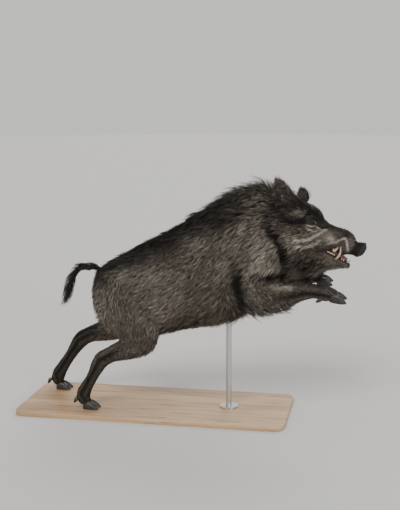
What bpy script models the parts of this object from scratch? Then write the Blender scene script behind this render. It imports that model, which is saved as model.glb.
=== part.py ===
"""A wild boar in full flight, life size, on a plain display stand.

The animal springs off its hind feet with both forelegs thrown forward and its mouth a little open. Metres,
+Z up, +X towards the snout, +Y to the animal's left. The origin is the middle of the stand's underside.
The flesh is lofted through named stations, melted into one body, then parted into head, jaw, neck, trunk,
tail and legs by thin cuts. Every outline includes the depth of the coat.
"""

import math

import bmesh
import bpy
import numpy as np
from mathutils import Matrix, Vector
from mathutils.bvhtree import BVHTree

# Stand
BASE_LENGTH = 1.44
BASE_WIDTH = 0.54
BASE_THICKNESS = 0.026
BASE_CORNER = 0.05
BASE_CHAMFER = 0.004
ROD_RADIUS = 0.015
ROD_FOOT_RADIUS = 0.05
ROD_FOOT_THICKNESS = 0.010
ROD_PLACE = (0.035, 0.0)  # under the breastbone, in the animal's own x and y
ROD_DEPTH = 0.07  # how far the rod goes up into the chest

GROUND = -0.068  # the board's top in the animal's own z
ANIMAL = Vector((0.36, 0.0, BASE_THICKNESS - GROUND))  # the animal's zero, in the model's own space

GAP = 0.0004  # between neighbouring solids
SEGMENTS = 20  # points round a loft
STEPS = 5  # rings from one station to the next
MELT_SIZE = 0.0065  # grain at which the lofts become one body
MELT_SMOOTHING = 9
BODY_TRIANGLES = 3400

# Head: its zero is inside the poll, its own +X runs out along the snout.
HEAD_PLACE = Vector((0.326, -0.010, 1.035))
HEAD_PITCH = math.radians(31)
HEAD_YAW = math.radians(-9)
HEAD = (
    Matrix.Translation(HEAD_PLACE)
    @ Matrix.Rotation(HEAD_YAW, 4, "Z")
    @ Matrix.Rotation(HEAD_PITCH, 4, "Y")
)

# Trunk and neck: the spine's point and the belly's point (x, z), half the width, how much narrower the top is
TRUNK = (
    ((-0.690, 0.628), (-0.694, 0.520), 0.060, 0.0),  # buttock
    ((-0.640, 0.690), (-0.664, 0.430), 0.128, 0.10),  # hip
    ((-0.540, 0.756), (-0.520, 0.345), 0.162, 0.15),  # croup
    ((-0.403, 0.832), (-0.345, 0.318), 0.182, 0.20),  # loin
    ((-0.250, 0.914), (-0.158, 0.362), 0.202, 0.25),  # middle
    ((-0.096, 1.018), (0.010, 0.392), 0.204, 0.32),  # girth
    ((0.034, 1.096), (0.140, 0.456), 0.190, 0.36),  # withers
    ((0.150, 1.128), (0.262, 0.575), 0.164, 0.32),  # root of the neck
    ((0.250, 1.130), (0.345, 0.650), 0.144, 0.25),  # nape
    ((0.330, 1.075), (0.400, 0.720), 0.110, 0.15),  # poll
)

# Head: how far along, top, bottom, half the width, how much narrower the top is
SKULL = (
    (-0.060, 0.030, -0.260, 0.105, 0.10),
    (0.000, 0.060, -0.305, 0.134, 0.18),  # poll
    (0.060, 0.072, -0.305, 0.143, 0.26),  # ears
    (0.120, 0.079, -0.282, 0.134, 0.30),  # cheeks
    (0.175, 0.076, -0.232, 0.112, 0.28),  # brow
    (0.232, 0.049, -0.165, 0.086, 0.24),  # under the eye
    (0.290, 0.054, -0.098, 0.066, 0.16),  # corner of the mouth
    (0.345, 0.067, -0.050, 0.057, 0.08),  # upper tusk
    (0.386, 0.062, -0.053, 0.048, 0.05),  # lip
    (0.413, 0.043, -0.038, 0.036, 0.0),  # waist behind the snout
    (0.436, 0.051, -0.026, 0.037, 0.0),  # rim
    (0.455, 0.065, -0.025, 0.040, 0.0),
    (0.469, 0.059, -0.019, 0.036, 0.0),  # face of the snout
)

# Lower jaw: its upper point and lower point (along, up) in the head's frame, half the width
JAW = (
    ((0.150, -0.110), (0.140, -0.305), 0.100),
    ((0.235, -0.092), (0.238, -0.262), 0.092),  # angle of the jaw, with its whiskers
    ((0.300, -0.078), (0.308, -0.206), 0.070),
    ((0.350, -0.070), (0.364, -0.152), 0.052),
    ((0.395, -0.068), (0.405, -0.118), 0.042),  # lower tusk
    ((0.428, -0.070), (0.436, -0.100), 0.034),
    ((0.446, -0.073), (0.450, -0.091), 0.020),  # chin
)

# Legs: the middle of the leg (x, distance from the midline, z), half its depth, half its width
FORELEG_RIGHT = (
    (0.030, 0.095, 0.650, 0.118, 0.080),  # point of the shoulder
    (0.115, 0.122, 0.595, 0.108, 0.070),  # upper arm
    (0.205, 0.135, 0.573, 0.092, 0.060),  # elbow
    (0.300, 0.138, 0.582, 0.078, 0.050),  # forearm
    (0.385, 0.138, 0.597, 0.057, 0.042),
    (0.455, 0.137, 0.613, 0.047, 0.039),  # wrist
    (0.505, 0.137, 0.612, 0.038, 0.033),  # cannon
    (0.545, 0.138, 0.604, 0.041, 0.037),  # fetlock
    (0.580, 0.138, 0.599, 0.034, 0.036),  # pastern
    (0.604, 0.138, 0.593, 0.022, 0.028),
)
FORELEG_LEFT = (
    (0.020, 0.095, 0.650, 0.118, 0.080),
    (0.085, 0.122, 0.605, 0.105, 0.070),
    (0.155, 0.135, 0.590, 0.092, 0.060),
    (0.238, 0.139, 0.600, 0.077, 0.050),
    (0.312, 0.141, 0.611, 0.056, 0.042),
    (0.370, 0.141, 0.624, 0.046, 0.039),
    (0.415, 0.141, 0.633, 0.038, 0.033),
    (0.455, 0.141, 0.635, 0.041, 0.037),
    (0.490, 0.141, 0.637, 0.034, 0.036),
    (0.513, 0.141, 0.635, 0.022, 0.028),
)
HINDLEG_RIGHT = (
    (-0.530, 0.090, 0.610, 0.130, 0.075),  # hip
    (-0.480, 0.118, 0.470, 0.140, 0.084),  # thigh
    (-0.410, 0.138, 0.352, 0.112, 0.074),  # stifle
    (-0.478, 0.142, 0.277, 0.072, 0.055),  # shank
    (-0.560, 0.140, 0.238, 0.047, 0.042),
    (-0.626, 0.140, 0.198, 0.045, 0.037),  # hock
    (-0.674, 0.143, 0.112, 0.032, 0.029),  # cannon
    (-0.706, 0.146, 0.056, 0.033, 0.030),
    (-0.726, 0.149, 0.014, 0.037, 0.036),  # fetlock
    (-0.722, 0.150, -0.016, 0.034, 0.035),  # pastern
    (-0.700, 0.150, -0.032, 0.021, 0.027),
)
HINDLEG_LEFT = (
    (-0.560, 0.090, 0.610, 0.130, 0.075),
    (-0.585, 0.118, 0.470, 0.130, 0.084),
    (-0.610, 0.138, 0.345, 0.100, 0.072),
    (-0.690, 0.142, 0.288, 0.064, 0.052),
    (-0.768, 0.141, 0.262, 0.047, 0.042),
    (-0.830, 0.141, 0.226, 0.045, 0.037),
    (-0.892, 0.144, 0.138, 0.032, 0.029),
    (-0.936, 0.147, 0.074, 0.033, 0.030),
    (-0.970, 0.149, 0.018, 0.037, 0.036),
    (-0.974, 0.150, -0.014, 0.034, 0.035),
    (-0.956, 0.150, -0.032, 0.021, 0.027),
)
# Muscle masses: middle (x, distance from the midline, z), half sizes, pitch in degrees
SHOULDER = ((0.080, 0.094, 0.790), (0.140, 0.094, 0.240), 16)
HAUNCH = ((-0.500, 0.088, 0.520), (0.185, 0.102, 0.190), -12)
JOWL = ((0.120, 0.074, -0.150), (0.095, 0.070, 0.105), 20)  # in the head's frame
HEEL_BULGE = 0.020  # the hock's point stands out behind the leg's line

# Tail: x, y, z and radius
TAIL = (
    (-0.600, 0.0, 0.640, 0.034),
    (-0.665, 0.0, 0.660, 0.024),
    (-0.725, 0.002, 0.679, 0.018),
    (-0.778, 0.003, 0.670, 0.015),
    (-0.808, 0.002, 0.640, 0.015),
    (-0.826, 0.0, 0.600, 0.020),  # the tuft begins
    (-0.840, -0.003, 0.555, 0.022),
    (-0.852, -0.005, 0.514, 0.017),
    (-0.862, -0.006, 0.476, 0.005),
)

# Feet: the middle of the sole, its pitch and roll in degrees, then the dewclaws' roots (along, up) and pitch
HOOF_LENGTH = 0.088
HOOF_WIDTH = 0.034
HOOF_HEIGHT = 0.044
HOOF_APART = 0.0195  # each hoof's middle from the foot's middle
HOOF_SPLAY = math.radians(7)
FEET = {
    "forefoot_right": ((0.614, -0.138, 0.568), 4, 18, (-0.082, 0.012), 150),
    "forefoot_left": ((0.528, 0.141, 0.599), 2, 18, (-0.082, 0.012), 150),
    "hindfoot_right": ((-0.682, -0.150, GROUND + GAP), 0, 0, (-0.072, 0.064), 118),
    "hindfoot_left": ((-0.938, 0.150, GROUND + GAP), 0, 0, (-0.072, 0.064), 118),
}
DEWCLAW_LENGTH = 0.034
DEWCLAW_RADIUS = 0.011

EAR_WIDTH = 0.105
EAR_THICKNESS = 0.010
# Each ear's root, length, the way its tip points and the way its hollow faces, in the head's frame
EARS = {
    "ear_left": ((0.060, 0.078, 0.030), 0.112, (-0.56, 0.70, 0.36), (0.62, 0.76, 0.05)),
    "ear_right": ((0.034, -0.080, 0.030), 0.150, (-0.76, -0.34, 0.56), (0.30, -0.92, 0.10)),
}

EYE_RADIUS = 0.0132
EYE_DEPTH = 0.0118  # the eyeball's middle under the coat's surface
EYE_PLACE = (0.181, 0.020)  # along and up in the head's frame

# Tusks: points and radii in the head's frame, for the left side
LOWER_TUSK = (
    (0.364, 0.018, -0.114, 0.0060),
    (0.373, 0.032, -0.088, 0.0066),
    (0.379, 0.047, -0.060, 0.0062),
    (0.376, 0.057, -0.033, 0.0047),
    (0.363, 0.062, -0.009, 0.0014),
)
UPPER_TUSK = (
    (0.352, 0.034, -0.024, 0.0064),
    (0.350, 0.044, -0.042, 0.0068),
    (0.346, 0.054, -0.050, 0.0060),
    (0.342, 0.062, -0.045, 0.0044),
    (0.340, 0.065, -0.036, 0.0018),
)
TONGUE = (
    (0.322, 0.0, -0.068, 0.007, 0.019),
    (0.355, 0.0, -0.065, 0.009, 0.022),
    (0.388, 0.0, -0.064, 0.009, 0.021),
    (0.408, 0.0, -0.063, 0.008, 0.017),
    (0.421, 0.0, -0.061, 0.005, 0.010),
)
NOSTRIL_PLACE = (0.462, 0.0165, 0.020)
NOSTRIL = (0.014, 0.0065, 0.0085)  # half its depth, width and height
INCISOR = (0.010, 0.0052, 0.016)  # length, width and height of one of the six
INCISORS_PLACE = (0.428, -0.073)

# Regions that part the melted body: outlines in x and z, and a span in y
FAR = 1.4
HEAD_REGION = ((0.292, 1.30), (0.316, 1.050), (0.384, 0.560), (FAR, 0.560), (FAR, 1.30))
JAW_LINE = ((0.309, -0.070), (0.250, -0.330), (0.62, -0.330), (0.62, -0.040))  # in the head's frame
NECK_REGION = ((0.100, 1.30), (0.130, 1.050), (0.262, 0.440), (0.60, 0.440), (0.60, 1.30))
TAIL_REGION = (
    (-0.690, 0.800), (-0.680, 0.640), (-0.720, 0.600), (-0.770, 0.450), (-FAR, 0.410), (-FAR, 0.800),
)
HINDLEG_REGION = (
    (-FAR, -0.20), (-0.27, -0.20), (-0.27, 0.290), (-0.32, 0.480),
    (-0.43, 0.590), (-0.56, 0.590), (-0.68, 0.490), (-FAR, 0.400),
)
FORELEG_REGION = (
    (-0.02, 0.30), (FAR, 0.30), (FAR, 0.679), (0.330, 0.679), (0.300, 0.672),
    (0.215, 0.715), (0.090, 0.715), (0.015, 0.630), (-0.02, 0.50),
)
INNER_CUT = 0.062  # the legs' inner cuts, from the midline

COAT_COLOUR = (0.055, 0.045, 0.038)
COLOURS = {
    "coat": (COAT_COLOUR, 0.75, 0.0),
    "hoof": ((0.040, 0.034, 0.030), 0.45, 0.0),
    "ivory": ((0.74, 0.68, 0.55), 0.35, 0.0),
    "eye": ((0.035, 0.018, 0.010), 0.08, 0.0),
    "tongue": ((0.42, 0.17, 0.15), 0.40, 0.0),
    "wood": ((0.50, 0.36, 0.22), 0.50, 0.0),
    "steel": ((0.55, 0.55, 0.56), 0.35, 1.0),
}


def finish_of(name):
    """The Principled material with that name, made when it is first asked for."""
    found = bpy.data.materials.get(name)
    if found:
        return found
    colour, roughness, metallic = COLOURS[name]
    made = bpy.data.materials.new(name)
    made.use_nodes = True
    shader = made.node_tree.nodes["Principled BSDF"]
    shader.inputs["Base Color"].default_value = (*colour, 1.0)
    shader.inputs["Roughness"].default_value = roughness
    shader.inputs["Metallic"].default_value = metallic
    return made


def new_object(name, bm, finish, matrix=None):
    """An object from a bmesh, which is freed."""
    if matrix:
        bm.transform(matrix)
    bmesh.ops.recalc_face_normals(bm, faces=bm.faces)
    mesh = bpy.data.meshes.new(name)
    bm.to_mesh(mesh)
    bm.free()
    mesh.materials.append(finish_of(finish))
    made = bpy.data.objects.new(name, mesh)
    bpy.context.scene.collection.objects.link(made)
    return made


def settle(obj):
    """Makes what the modifiers show the object's own mesh."""
    bpy.context.view_layer.update()
    evaluated = obj.evaluated_get(bpy.context.evaluated_depsgraph_get())
    mesh = bpy.data.meshes.new_from_object(evaluated)
    obj.modifiers.clear()
    obj.data = mesh
    return obj


def copy_of(obj, name):
    made = bpy.data.objects.new(name, obj.data.copy())
    bpy.context.scene.collection.objects.link(made)
    return made


def remove(*objects):
    for obj in objects:
        bpy.data.objects.remove(obj)


def cut(obj, cutter, operation):
    modifier = obj.modifiers.new("cut", "BOOLEAN")
    modifier.object = cutter
    modifier.operation = operation
    return settle(obj)


def grown(obj, name, by=GAP):
    """A copy that stands out from the object by this much, to cut its neighbour with."""
    made = copy_of(obj, name)
    bm = bmesh.new()
    bm.from_mesh(made.data)
    bm.normal_update()
    for vertex, normal in [(v, v.normal.copy()) for v in bm.verts]:
        steepest = max(0.5, min(normal.dot(face.normal) for face in vertex.link_faces))
        vertex.co += normal * (by / steepest)
    bm.to_mesh(made.data)
    bm.free()
    return made


def through(rows, steps=STEPS):
    """More rows between the given ones, on a smooth curve through them."""
    rows = np.array(rows, float)
    ends = np.vstack([2 * rows[0] - rows[1], rows, 2 * rows[-1] - rows[-2]])
    found = []
    for i in range(1, len(ends) - 2):
        before, start, stop, after = ends[i - 1 : i + 3]
        for t in np.arange(steps) / steps:
            found.append(
                0.5 * (2 * start + (stop - before) * t
                       + (2 * before - 5 * start + 4 * stop - after) * t**2
                       + (3 * start - before - 3 * stop + after) * t**3)
            )
    return np.array(found + [rows[-1]])


def skin_rings(bm, rings):
    """Joins closed rings of points into one capped tube."""
    loops = [[bm.verts.new(point) for point in ring] for ring in rings]
    for first, second in zip(loops, loops[1:]):
        for i in range(len(first)):
            j = (i + 1) % len(first)
            bm.faces.new((first[i], first[j], second[j], second[i]))
    bm.faces.new(loops[0][::-1])
    bm.faces.new(loops[-1])


def oval(middle, up, side, taper=0.0, segments=SEGMENTS):
    """A ring of points, narrower by the taper at its top and wider at its bottom."""
    turns = [2 * math.pi * i / segments for i in range(segments)]
    return [
        middle + side * math.cos(a) * (1 - taper * math.sin(a)) + up * math.sin(a) for a in turns
    ]


def profile_loft(bm, stations, matrix=None, shift=0.0):
    """A loft in the plane of symmetry. Each station is the top x and z, bottom x and z, half width and taper."""
    side = Vector((0, 1, 0))
    rings = []
    for top_x, top_z, low_x, low_z, width, taper in through(stations):
        top, low = Vector((top_x, shift, top_z)), Vector((low_x, shift, low_z))
        ring = oval((top + low) / 2, (top - low) / 2, side * width, taper)
        rings.append([matrix @ p for p in ring] if matrix else ring)
    skin_rings(bm, rings)


def limb_loft(bm, stations, segments=SEGMENTS, matrix=None, steps=STEPS):
    """A loft along a bent line, through stations of x, y, z, half depth and half width."""
    rows = through(stations, steps)
    points = [Vector(row[:3]) for row in rows]
    rings = []
    for i, row in enumerate(rows):
        along = points[min(i + 1, len(points) - 1)] - points[max(i - 1, 0)]
        side = Vector((0, 1, 0))
        side = (side - along * side.dot(along) / along.length_squared).normalized()
        up = along.normalized().cross(side)
        ring = oval(points[i], up * row[3], side * row[4], segments=segments)
        rings.append([matrix @ p for p in ring] if matrix else ring)
    skin_rings(bm, rings)


def round_loft(bm, stations, segments, matrix=None, steps=STEPS):
    """A round tube through stations of x, y, z and radius."""
    limb_loft(bm, [(x, y, z, r, r) for x, y, z, r in stations], segments, matrix, steps)


def mirrored(stations, side):
    return [(row[0], row[1] * side, *row[2:]) for row in stations]


def flesh():
    """Trunk, neck, head, jaw, tail and legs, melted into one body."""
    bm = bmesh.new()
    profile_loft(bm, [(*top, *low, width, taper) for top, low, width, taper in TRUNK])
    skull = [(u, top, u, low, width, taper) for u, top, low, width, taper in SKULL]
    profile_loft(bm, skull, HEAD)
    profile_loft(bm, [(*top, *low, width, -0.1) for top, low, width in JAW], HEAD)
    round_loft(bm, TAIL, 12)
    for stations, side in (
        (FORELEG_RIGHT, -1), (FORELEG_LEFT, 1), (HINDLEG_RIGHT, -1), (HINDLEG_LEFT, 1),
    ):
        limb_loft(bm, mirrored(stations, side))
    for stations, side in ((HINDLEG_RIGHT, -1), (HINDLEG_LEFT, 1)):
        hock_point(bm, mirrored(stations, side))
    for side in (-1, 1):
        mass(bm, *SHOULDER, side)
        mass(bm, *HAUNCH, side)
        mass(bm, *JOWL, side, HEAD)
    body = new_object("body", bm, "coat")
    melt = body.modifiers.new("melt", "REMESH")
    melt.mode = "VOXEL"
    melt.voxel_size = MELT_SIZE
    smooth = body.modifiers.new("smooth", "SMOOTH")
    smooth.iterations = MELT_SMOOTHING
    settle(body)
    nostrils(body)
    body.data.calc_loop_triangles()
    thin = body.modifiers.new("thin", "DECIMATE")
    thin.ratio = BODY_TRIANGLES / len(body.data.loop_triangles)
    return settle(body)


def nostrils(body):
    """Two blind holes in the face of the snout."""
    along, across, up = NOSTRIL_PLACE
    for side in (-1, 1):
        bm = bmesh.new()
        place = HEAD @ Matrix.Translation((along, across * side, up)) @ Matrix.Diagonal((*NOSTRIL, 1.0))
        bmesh.ops.create_icosphere(bm, subdivisions=2, radius=1.0, matrix=place)
        hole = new_object("nostril", bm, "coat")
        cut(body, hole, "DIFFERENCE")
        remove(hole)


def mass(bm, middle, sizes, pitch, side, matrix=None):
    """A swelling of muscle that lifts the surface round it."""
    x, y, z = middle
    place = Matrix.Translation((x, y * side, z)) @ Matrix.Rotation(math.radians(pitch), 4, "Y")
    place = (matrix or Matrix()) @ place @ Matrix.Diagonal((*sizes, 1.0))
    bmesh.ops.create_icosphere(bm, subdivisions=3, radius=1.0, matrix=place)


def hock_point(bm, leg):
    """The heel bone's knob, which stands out behind the hock."""
    above, hock, below = (Vector(leg[i][:3]) for i in (4, 5, 6))
    back = ((hock - above).normalized() - (below - hock).normalized()).normalized()
    middle = hock + back * HEEL_BULGE
    start = above.lerp(hock, 0.45) + back * 0.004
    round_loft(bm, [(*start, 0.020), (*middle, 0.024), (*hock.lerp(below, 0.35), 0.018)], 12)


def hoof(bm, matrix):
    """One claw: a flat sole, a round wall and a blunt point. Its zero is the middle of the sole."""
    # Along, half width and height, as shares of the hoof's own sizes
    shape = (
        (-0.50, 0.30, 0.52), (-0.44, 0.72, 0.86), (-0.20, 0.98, 1.00), (0.05, 1.00, 0.92),
        (0.26, 0.84, 0.62), (0.40, 0.56, 0.34), (0.48, 0.28, 0.17),
    )
    rings = []
    for along, width, height in shape:
        half, tall, x = width * HOOF_WIDTH / 2, height * HOOF_HEIGHT, along * HOOF_LENGTH
        arch = [math.pi * i / 7 for i in range(8)]
        ring = [Vector((x, half * math.cos(a), tall * max(math.sin(a), 0.0) ** 0.8)) for a in arch]
        rings.append([matrix @ p for p in ring])
    skin_rings(bm, rings)


def dewclaw(bm, matrix):
    """A small cone, with its zero at its root and its point along +X."""
    size, length = DEWCLAW_RADIUS, DEWCLAW_LENGTH
    shape = ((0.0, 0.90), (0.45, 1.0), (1.0, 0.40))
    rings = []
    for along, r in shape:
        middle, up, side = Vector((along * length, 0, 0)), Vector((0, 0, size * r)), Vector((0, size * r, 0))
        rings.append([matrix @ p for p in oval(middle, up, side, segments=8)])
    skin_rings(bm, rings)


def feet():
    """Two hooves and two dewclaws for each foot."""
    made = []
    for foot, (place, pitch, roll, claw, claw_pitch) in FEET.items():
        frame = (
            Matrix.Translation(place) @ Matrix.Rotation(math.radians(pitch), 4, "Y")
            @ Matrix.Rotation(math.radians(roll), 4, "X")
        )
        for which, side in (("outer", -1 if "right" in foot else 1), ("inner", 1 if "right" in foot else -1)):
            turn = Matrix.Rotation(HOOF_SPLAY * side, 4, "Z")
            bm = bmesh.new()
            hoof(bm, frame @ Matrix.Translation((0, HOOF_APART * side, 0)) @ turn)
            made.append(new_object(f"{foot}_hoof_{which}", bm, "hoof"))
            bm = bmesh.new()
            behind = Matrix.Translation((claw[0], 0.022 * side, claw[1]))
            behind @= Matrix.Rotation(math.radians(claw_pitch), 4, "Y")
            dewclaw(bm, frame @ behind @ Matrix.Rotation(math.radians(18) * side, 4, "Z"))
            made.append(new_object(f"{foot}_dewclaw_{which}", bm, "hoof"))
    return made


def ear(name, root, ear_length, tip_way, hollow_way):
    """A leaf rolled into a funnel at its root, opening towards its tip, in the head's frame."""
    up = Vector(tip_way).normalized()
    out = Vector(hollow_way)
    out = (out - up * out.dot(up)).normalized()
    across = up.cross(out)
    rows, columns = 9, 7
    bm = bmesh.new()
    grid = []
    for i in range(rows):
        s = i / (rows - 1)
        half = EAR_WIDTH / 2 * (0.66 + 1.10 * s - 1.62 * s**2) * (1 - 0.9 * s**8)
        roll = math.radians(80 * (1 - s) + 24)  # half the arc that the leaf bends through
        radius = max(half, 0.005) * 1.2 / roll
        middle = Vector(root) + up * (ear_length * s) + out * radius + out * 0.012 * s**2
        grid.append([
            bm.verts.new(middle + (across * math.sin(a) - out * math.cos(a)) * radius)
            for a in (roll * (2 * j / (columns - 1) - 1) for j in range(columns))
        ])
    for low, high in zip(grid, grid[1:]):
        for j in range(columns - 1):
            bm.faces.new((low[j], low[j + 1], high[j + 1], high[j]))
    made = new_object(name, bm, "coat", HEAD)
    skin = made.modifiers.new("thickness", "SOLIDIFY")
    skin.thickness = EAR_THICKNESS
    skin.offset = 0
    return settle(made)


def eyes(body):
    """An eyeball each side, set into the head by the coat's surface there."""
    points = [v.co for v in body.data.vertices]
    tree = BVHTree.FromPolygons(points, [tuple(p.vertices) for p in body.data.polygons])
    made = []
    for name, side in (("eye_left", 1), ("eye_right", -1)):
        outside = HEAD @ Vector((EYE_PLACE[0], 0.3 * side, EYE_PLACE[1]))
        inwards = (HEAD.to_3x3() @ Vector((0, -side, 0))).normalized()
        surface = tree.ray_cast(outside, inwards)[0]
        bm = bmesh.new()
        middle = Matrix.Translation(surface + inwards * EYE_DEPTH)
        bmesh.ops.create_icosphere(bm, subdivisions=2, radius=EYE_RADIUS, matrix=middle)
        made.append(new_object(name, bm, "eye"))
    return made


def mouth():
    """Tusks, tongue and the lower front teeth."""
    made = []
    for name, stations in (("tusk_lower", LOWER_TUSK), ("tusk_upper", UPPER_TUSK)):
        for word, side in (("left", 1), ("right", -1)):
            bm = bmesh.new()
            round_loft(bm, mirrored(stations, side), 6, HEAD, 3)
            made.append(new_object(f"{name}_{word}", bm, "ivory"))
    bm = bmesh.new()
    limb_loft(bm, TONGUE, 10, HEAD, 2)
    made.append(new_object("tongue", bm, "tongue"))
    bm = bmesh.new()
    length, width, height = INCISOR
    along, up = INCISORS_PLACE
    arch = [math.radians(a) for a in range(-75, 76, 25)]
    outer = [Vector((along + length * math.cos(a), 3 * width * math.sin(a), 0)) for a in arch]
    reach, half = length - width, 3 * width - 0.005
    inner = [Vector((along + reach * math.cos(a), half * math.sin(a), 0)) for a in arch[::-1]]
    rings = [
        [HEAD @ (p + Vector((lean, 0, up + level))) for p in outer + inner]
        for level, lean in ((-0.006, -0.002), (height * 0.55, 0.003))
    ]
    skin_rings(bm, rings)
    made.append(new_object("incisors", bm, "ivory"))
    return made


def prism(name, outline, low_y, high_y, matrix=None):
    """A block with this outline in x and z."""
    bm = bmesh.new()
    rings = [[Vector((x, y, z)) for x, z in outline] for y in (low_y, high_y)]
    skin_rings(bm, rings)
    return new_object(name, bm, "coat", matrix)


def part(body):
    """Takes each named region off the body and returns the nodes. What is left over is the trunk."""
    leg = (INNER_CUT, 0.5)
    regions = (
        ("hindleg_left", HINDLEG_REGION, leg[0], leg[1], None),
        ("hindleg_right", HINDLEG_REGION, -leg[1], -leg[0], None),
        ("foreleg_left", FORELEG_REGION, leg[0], leg[1], None),
        ("foreleg_right", FORELEG_REGION, -leg[1], -leg[0], None),
        ("tail", TAIL_REGION, -0.3, 0.3, None),
        ("lower_jaw", JAW_LINE, -0.3, 0.3, HEAD),
        ("head", HEAD_REGION, -0.5, 0.5, None),
        ("neck", NECK_REGION, -0.5, 0.5, None),
    )
    made = []
    for name, outline, low_y, high_y, matrix in regions:
        block = prism(f"{name}_region", outline, low_y, high_y, matrix)
        made.append(cut(copy_of(body, name), block, "INTERSECT"))
        wide = grown(block, f"{name}_wide")
        cut(body, wide, "DIFFERENCE")
        remove(block, wide)
    body.name = "trunk"
    return made + [body]


def stand(trunk):
    """The board, the rod that carries the chest and the rod's round foot."""
    bm = bmesh.new()
    bmesh.ops.create_cube(bm, size=1.0)
    bmesh.ops.scale(bm, vec=(BASE_LENGTH, BASE_WIDTH, BASE_THICKNESS), verts=bm.verts)
    bmesh.ops.translate(bm, vec=(0, 0, BASE_THICKNESS / 2), verts=bm.verts)
    upright = [e for e in bm.edges if abs(e.verts[0].co.z - e.verts[1].co.z) > BASE_THICKNESS / 2]
    bmesh.ops.bevel(bm, geom=upright, offset=BASE_CORNER, segments=6, profile=0.5, affect="EDGES")
    rim = [e for e in bm.edges if min(v.co.z for v in e.verts) > BASE_THICKNESS * 0.99]
    bmesh.ops.bevel(bm, geom=rim, offset=BASE_CHAMFER, segments=2, profile=0.5, affect="EDGES")
    board = new_object("stand_base", bm, "wood", Matrix.Translation(-ANIMAL))

    x, y = ROD_PLACE
    points = [v.co for v in trunk.data.vertices]
    tree = BVHTree.FromPolygons(points, [tuple(p.vertices) for p in trunk.data.polygons])
    chest = tree.ray_cast(Vector((x, y, GROUND)), Vector((0, 0, 1)))[0]
    made = [board]
    for name, low, high, radius, sides in (
        ("stand_foot", GROUND + GAP, GROUND + ROD_FOOT_THICKNESS, ROD_FOOT_RADIUS, 32),
        ("stand_rod", GROUND + ROD_FOOT_THICKNESS + GAP, chest.z + ROD_DEPTH, ROD_RADIUS, 24),
    ):
        bm = bmesh.new()
        middle = Matrix.Translation((x, y, (low + high) / 2))
        bmesh.ops.create_cone(
            bm, cap_ends=True, segments=sides, radius1=radius, radius2=radius, depth=high - low, matrix=middle
        )
        made.append(new_object(name, bm, "steel"))
    return made


def main():
    for obj in list(bpy.data.objects):
        bpy.data.objects.remove(obj)
    body = flesh()
    small = eyes(body) + feet() + mouth()
    small += [ear(name, *places) for name, places in EARS.items()]
    for piece in small:
        wide = grown(piece, "wide")
        cut(body, wide, "DIFFERENCE")
        remove(wide)
    nodes = part(body)
    stands = stand(body)
    wide = grown(stands[-1], "wide")
    cut(body, wide, "DIFFERENCE")
    remove(wide)
    for obj in nodes + small + stands:
        obj.data.transform(Matrix.Translation(ANIMAL))
        obj.data.shade_smooth()
        obj.data.set_sharp_from_angle(angle=math.radians(50))


main()
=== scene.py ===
"""Looks of the life-size wild boar on its stand: skin, coat of solid tufts, eyes, teeth, hooves and stand.

The CAD nodes are the frame. +X runs to the snout, +Y to the animal's left; the origin is under the board.
"""

import math

import bmesh
import bpy
import numpy as np
from mathutils import Matrix, Vector
from mathutils.bvhtree import BVHTree
from mathutils.kdtree import KDTree


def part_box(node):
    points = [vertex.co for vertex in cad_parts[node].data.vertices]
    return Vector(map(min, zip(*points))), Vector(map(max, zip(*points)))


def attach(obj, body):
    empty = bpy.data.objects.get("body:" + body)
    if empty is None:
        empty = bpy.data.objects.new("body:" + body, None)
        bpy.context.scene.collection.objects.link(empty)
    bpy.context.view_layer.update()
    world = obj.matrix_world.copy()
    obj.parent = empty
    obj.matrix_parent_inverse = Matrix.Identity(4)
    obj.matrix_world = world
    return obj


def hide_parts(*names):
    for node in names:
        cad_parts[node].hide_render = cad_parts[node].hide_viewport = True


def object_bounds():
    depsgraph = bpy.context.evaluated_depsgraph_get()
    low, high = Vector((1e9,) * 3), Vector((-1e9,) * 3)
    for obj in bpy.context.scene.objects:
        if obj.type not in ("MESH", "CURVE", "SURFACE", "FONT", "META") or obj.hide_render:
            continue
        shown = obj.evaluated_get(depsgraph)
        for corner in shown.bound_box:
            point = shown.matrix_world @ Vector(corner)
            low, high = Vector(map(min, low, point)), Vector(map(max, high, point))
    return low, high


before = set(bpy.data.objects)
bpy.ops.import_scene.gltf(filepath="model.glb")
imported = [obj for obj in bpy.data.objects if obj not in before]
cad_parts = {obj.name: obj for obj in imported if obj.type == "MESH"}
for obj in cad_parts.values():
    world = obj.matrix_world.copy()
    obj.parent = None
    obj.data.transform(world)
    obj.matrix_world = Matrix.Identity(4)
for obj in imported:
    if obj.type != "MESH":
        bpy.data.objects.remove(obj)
cad_low, cad_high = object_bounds()


# Skin: one hide over head, jaw, neck, trunk, tail, ears and legs, under the coat by the coat's depth. It is
# melted from the flesh solids, so no seam shows. Then its face and lids are shaped and its markings laid on,
# together with painted highlights and painted shade.
FLESH = (
    "head", "lower_jaw", "neck", "trunk", "tail", "ear_left", "ear_right",
    "foreleg_left", "foreleg_right", "hindleg_left", "hindleg_right",
)
SIDES = {"left": 1, "right": -1}
# The animal's own zero, and the head's frame: +X runs from the poll along the snout, +Z out of the forehead.
ANIMAL = Vector((0.36, 0, 0.094))
POLL = ANIMAL + Vector((0.326, -0.01, 1.035))
HEAD_YAW, HEAD_PITCH = math.radians(-9), math.radians(31)
head_frame = Matrix.Translation(POLL) @ Matrix.Rotation(HEAD_YAW, 4, "Z")
head_frame = head_frame @ Matrix.Rotation(HEAD_PITCH, 4, "Y")
HEAD_TURN = np.array(head_frame.to_3x3())
HEAD_ZERO = np.array(head_frame.translation)
FACE_FLOOR = ANIMAL.z + 0.68  # nothing of the face is lower, and the forelegs are


def to_animal(points):
    return points - np.array(ANIMAL)


def to_head(points):
    return (points - HEAD_ZERO) @ HEAD_TURN


def from_head(points):
    return np.asarray(points) @ HEAD_TURN.T + HEAD_ZERO


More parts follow.
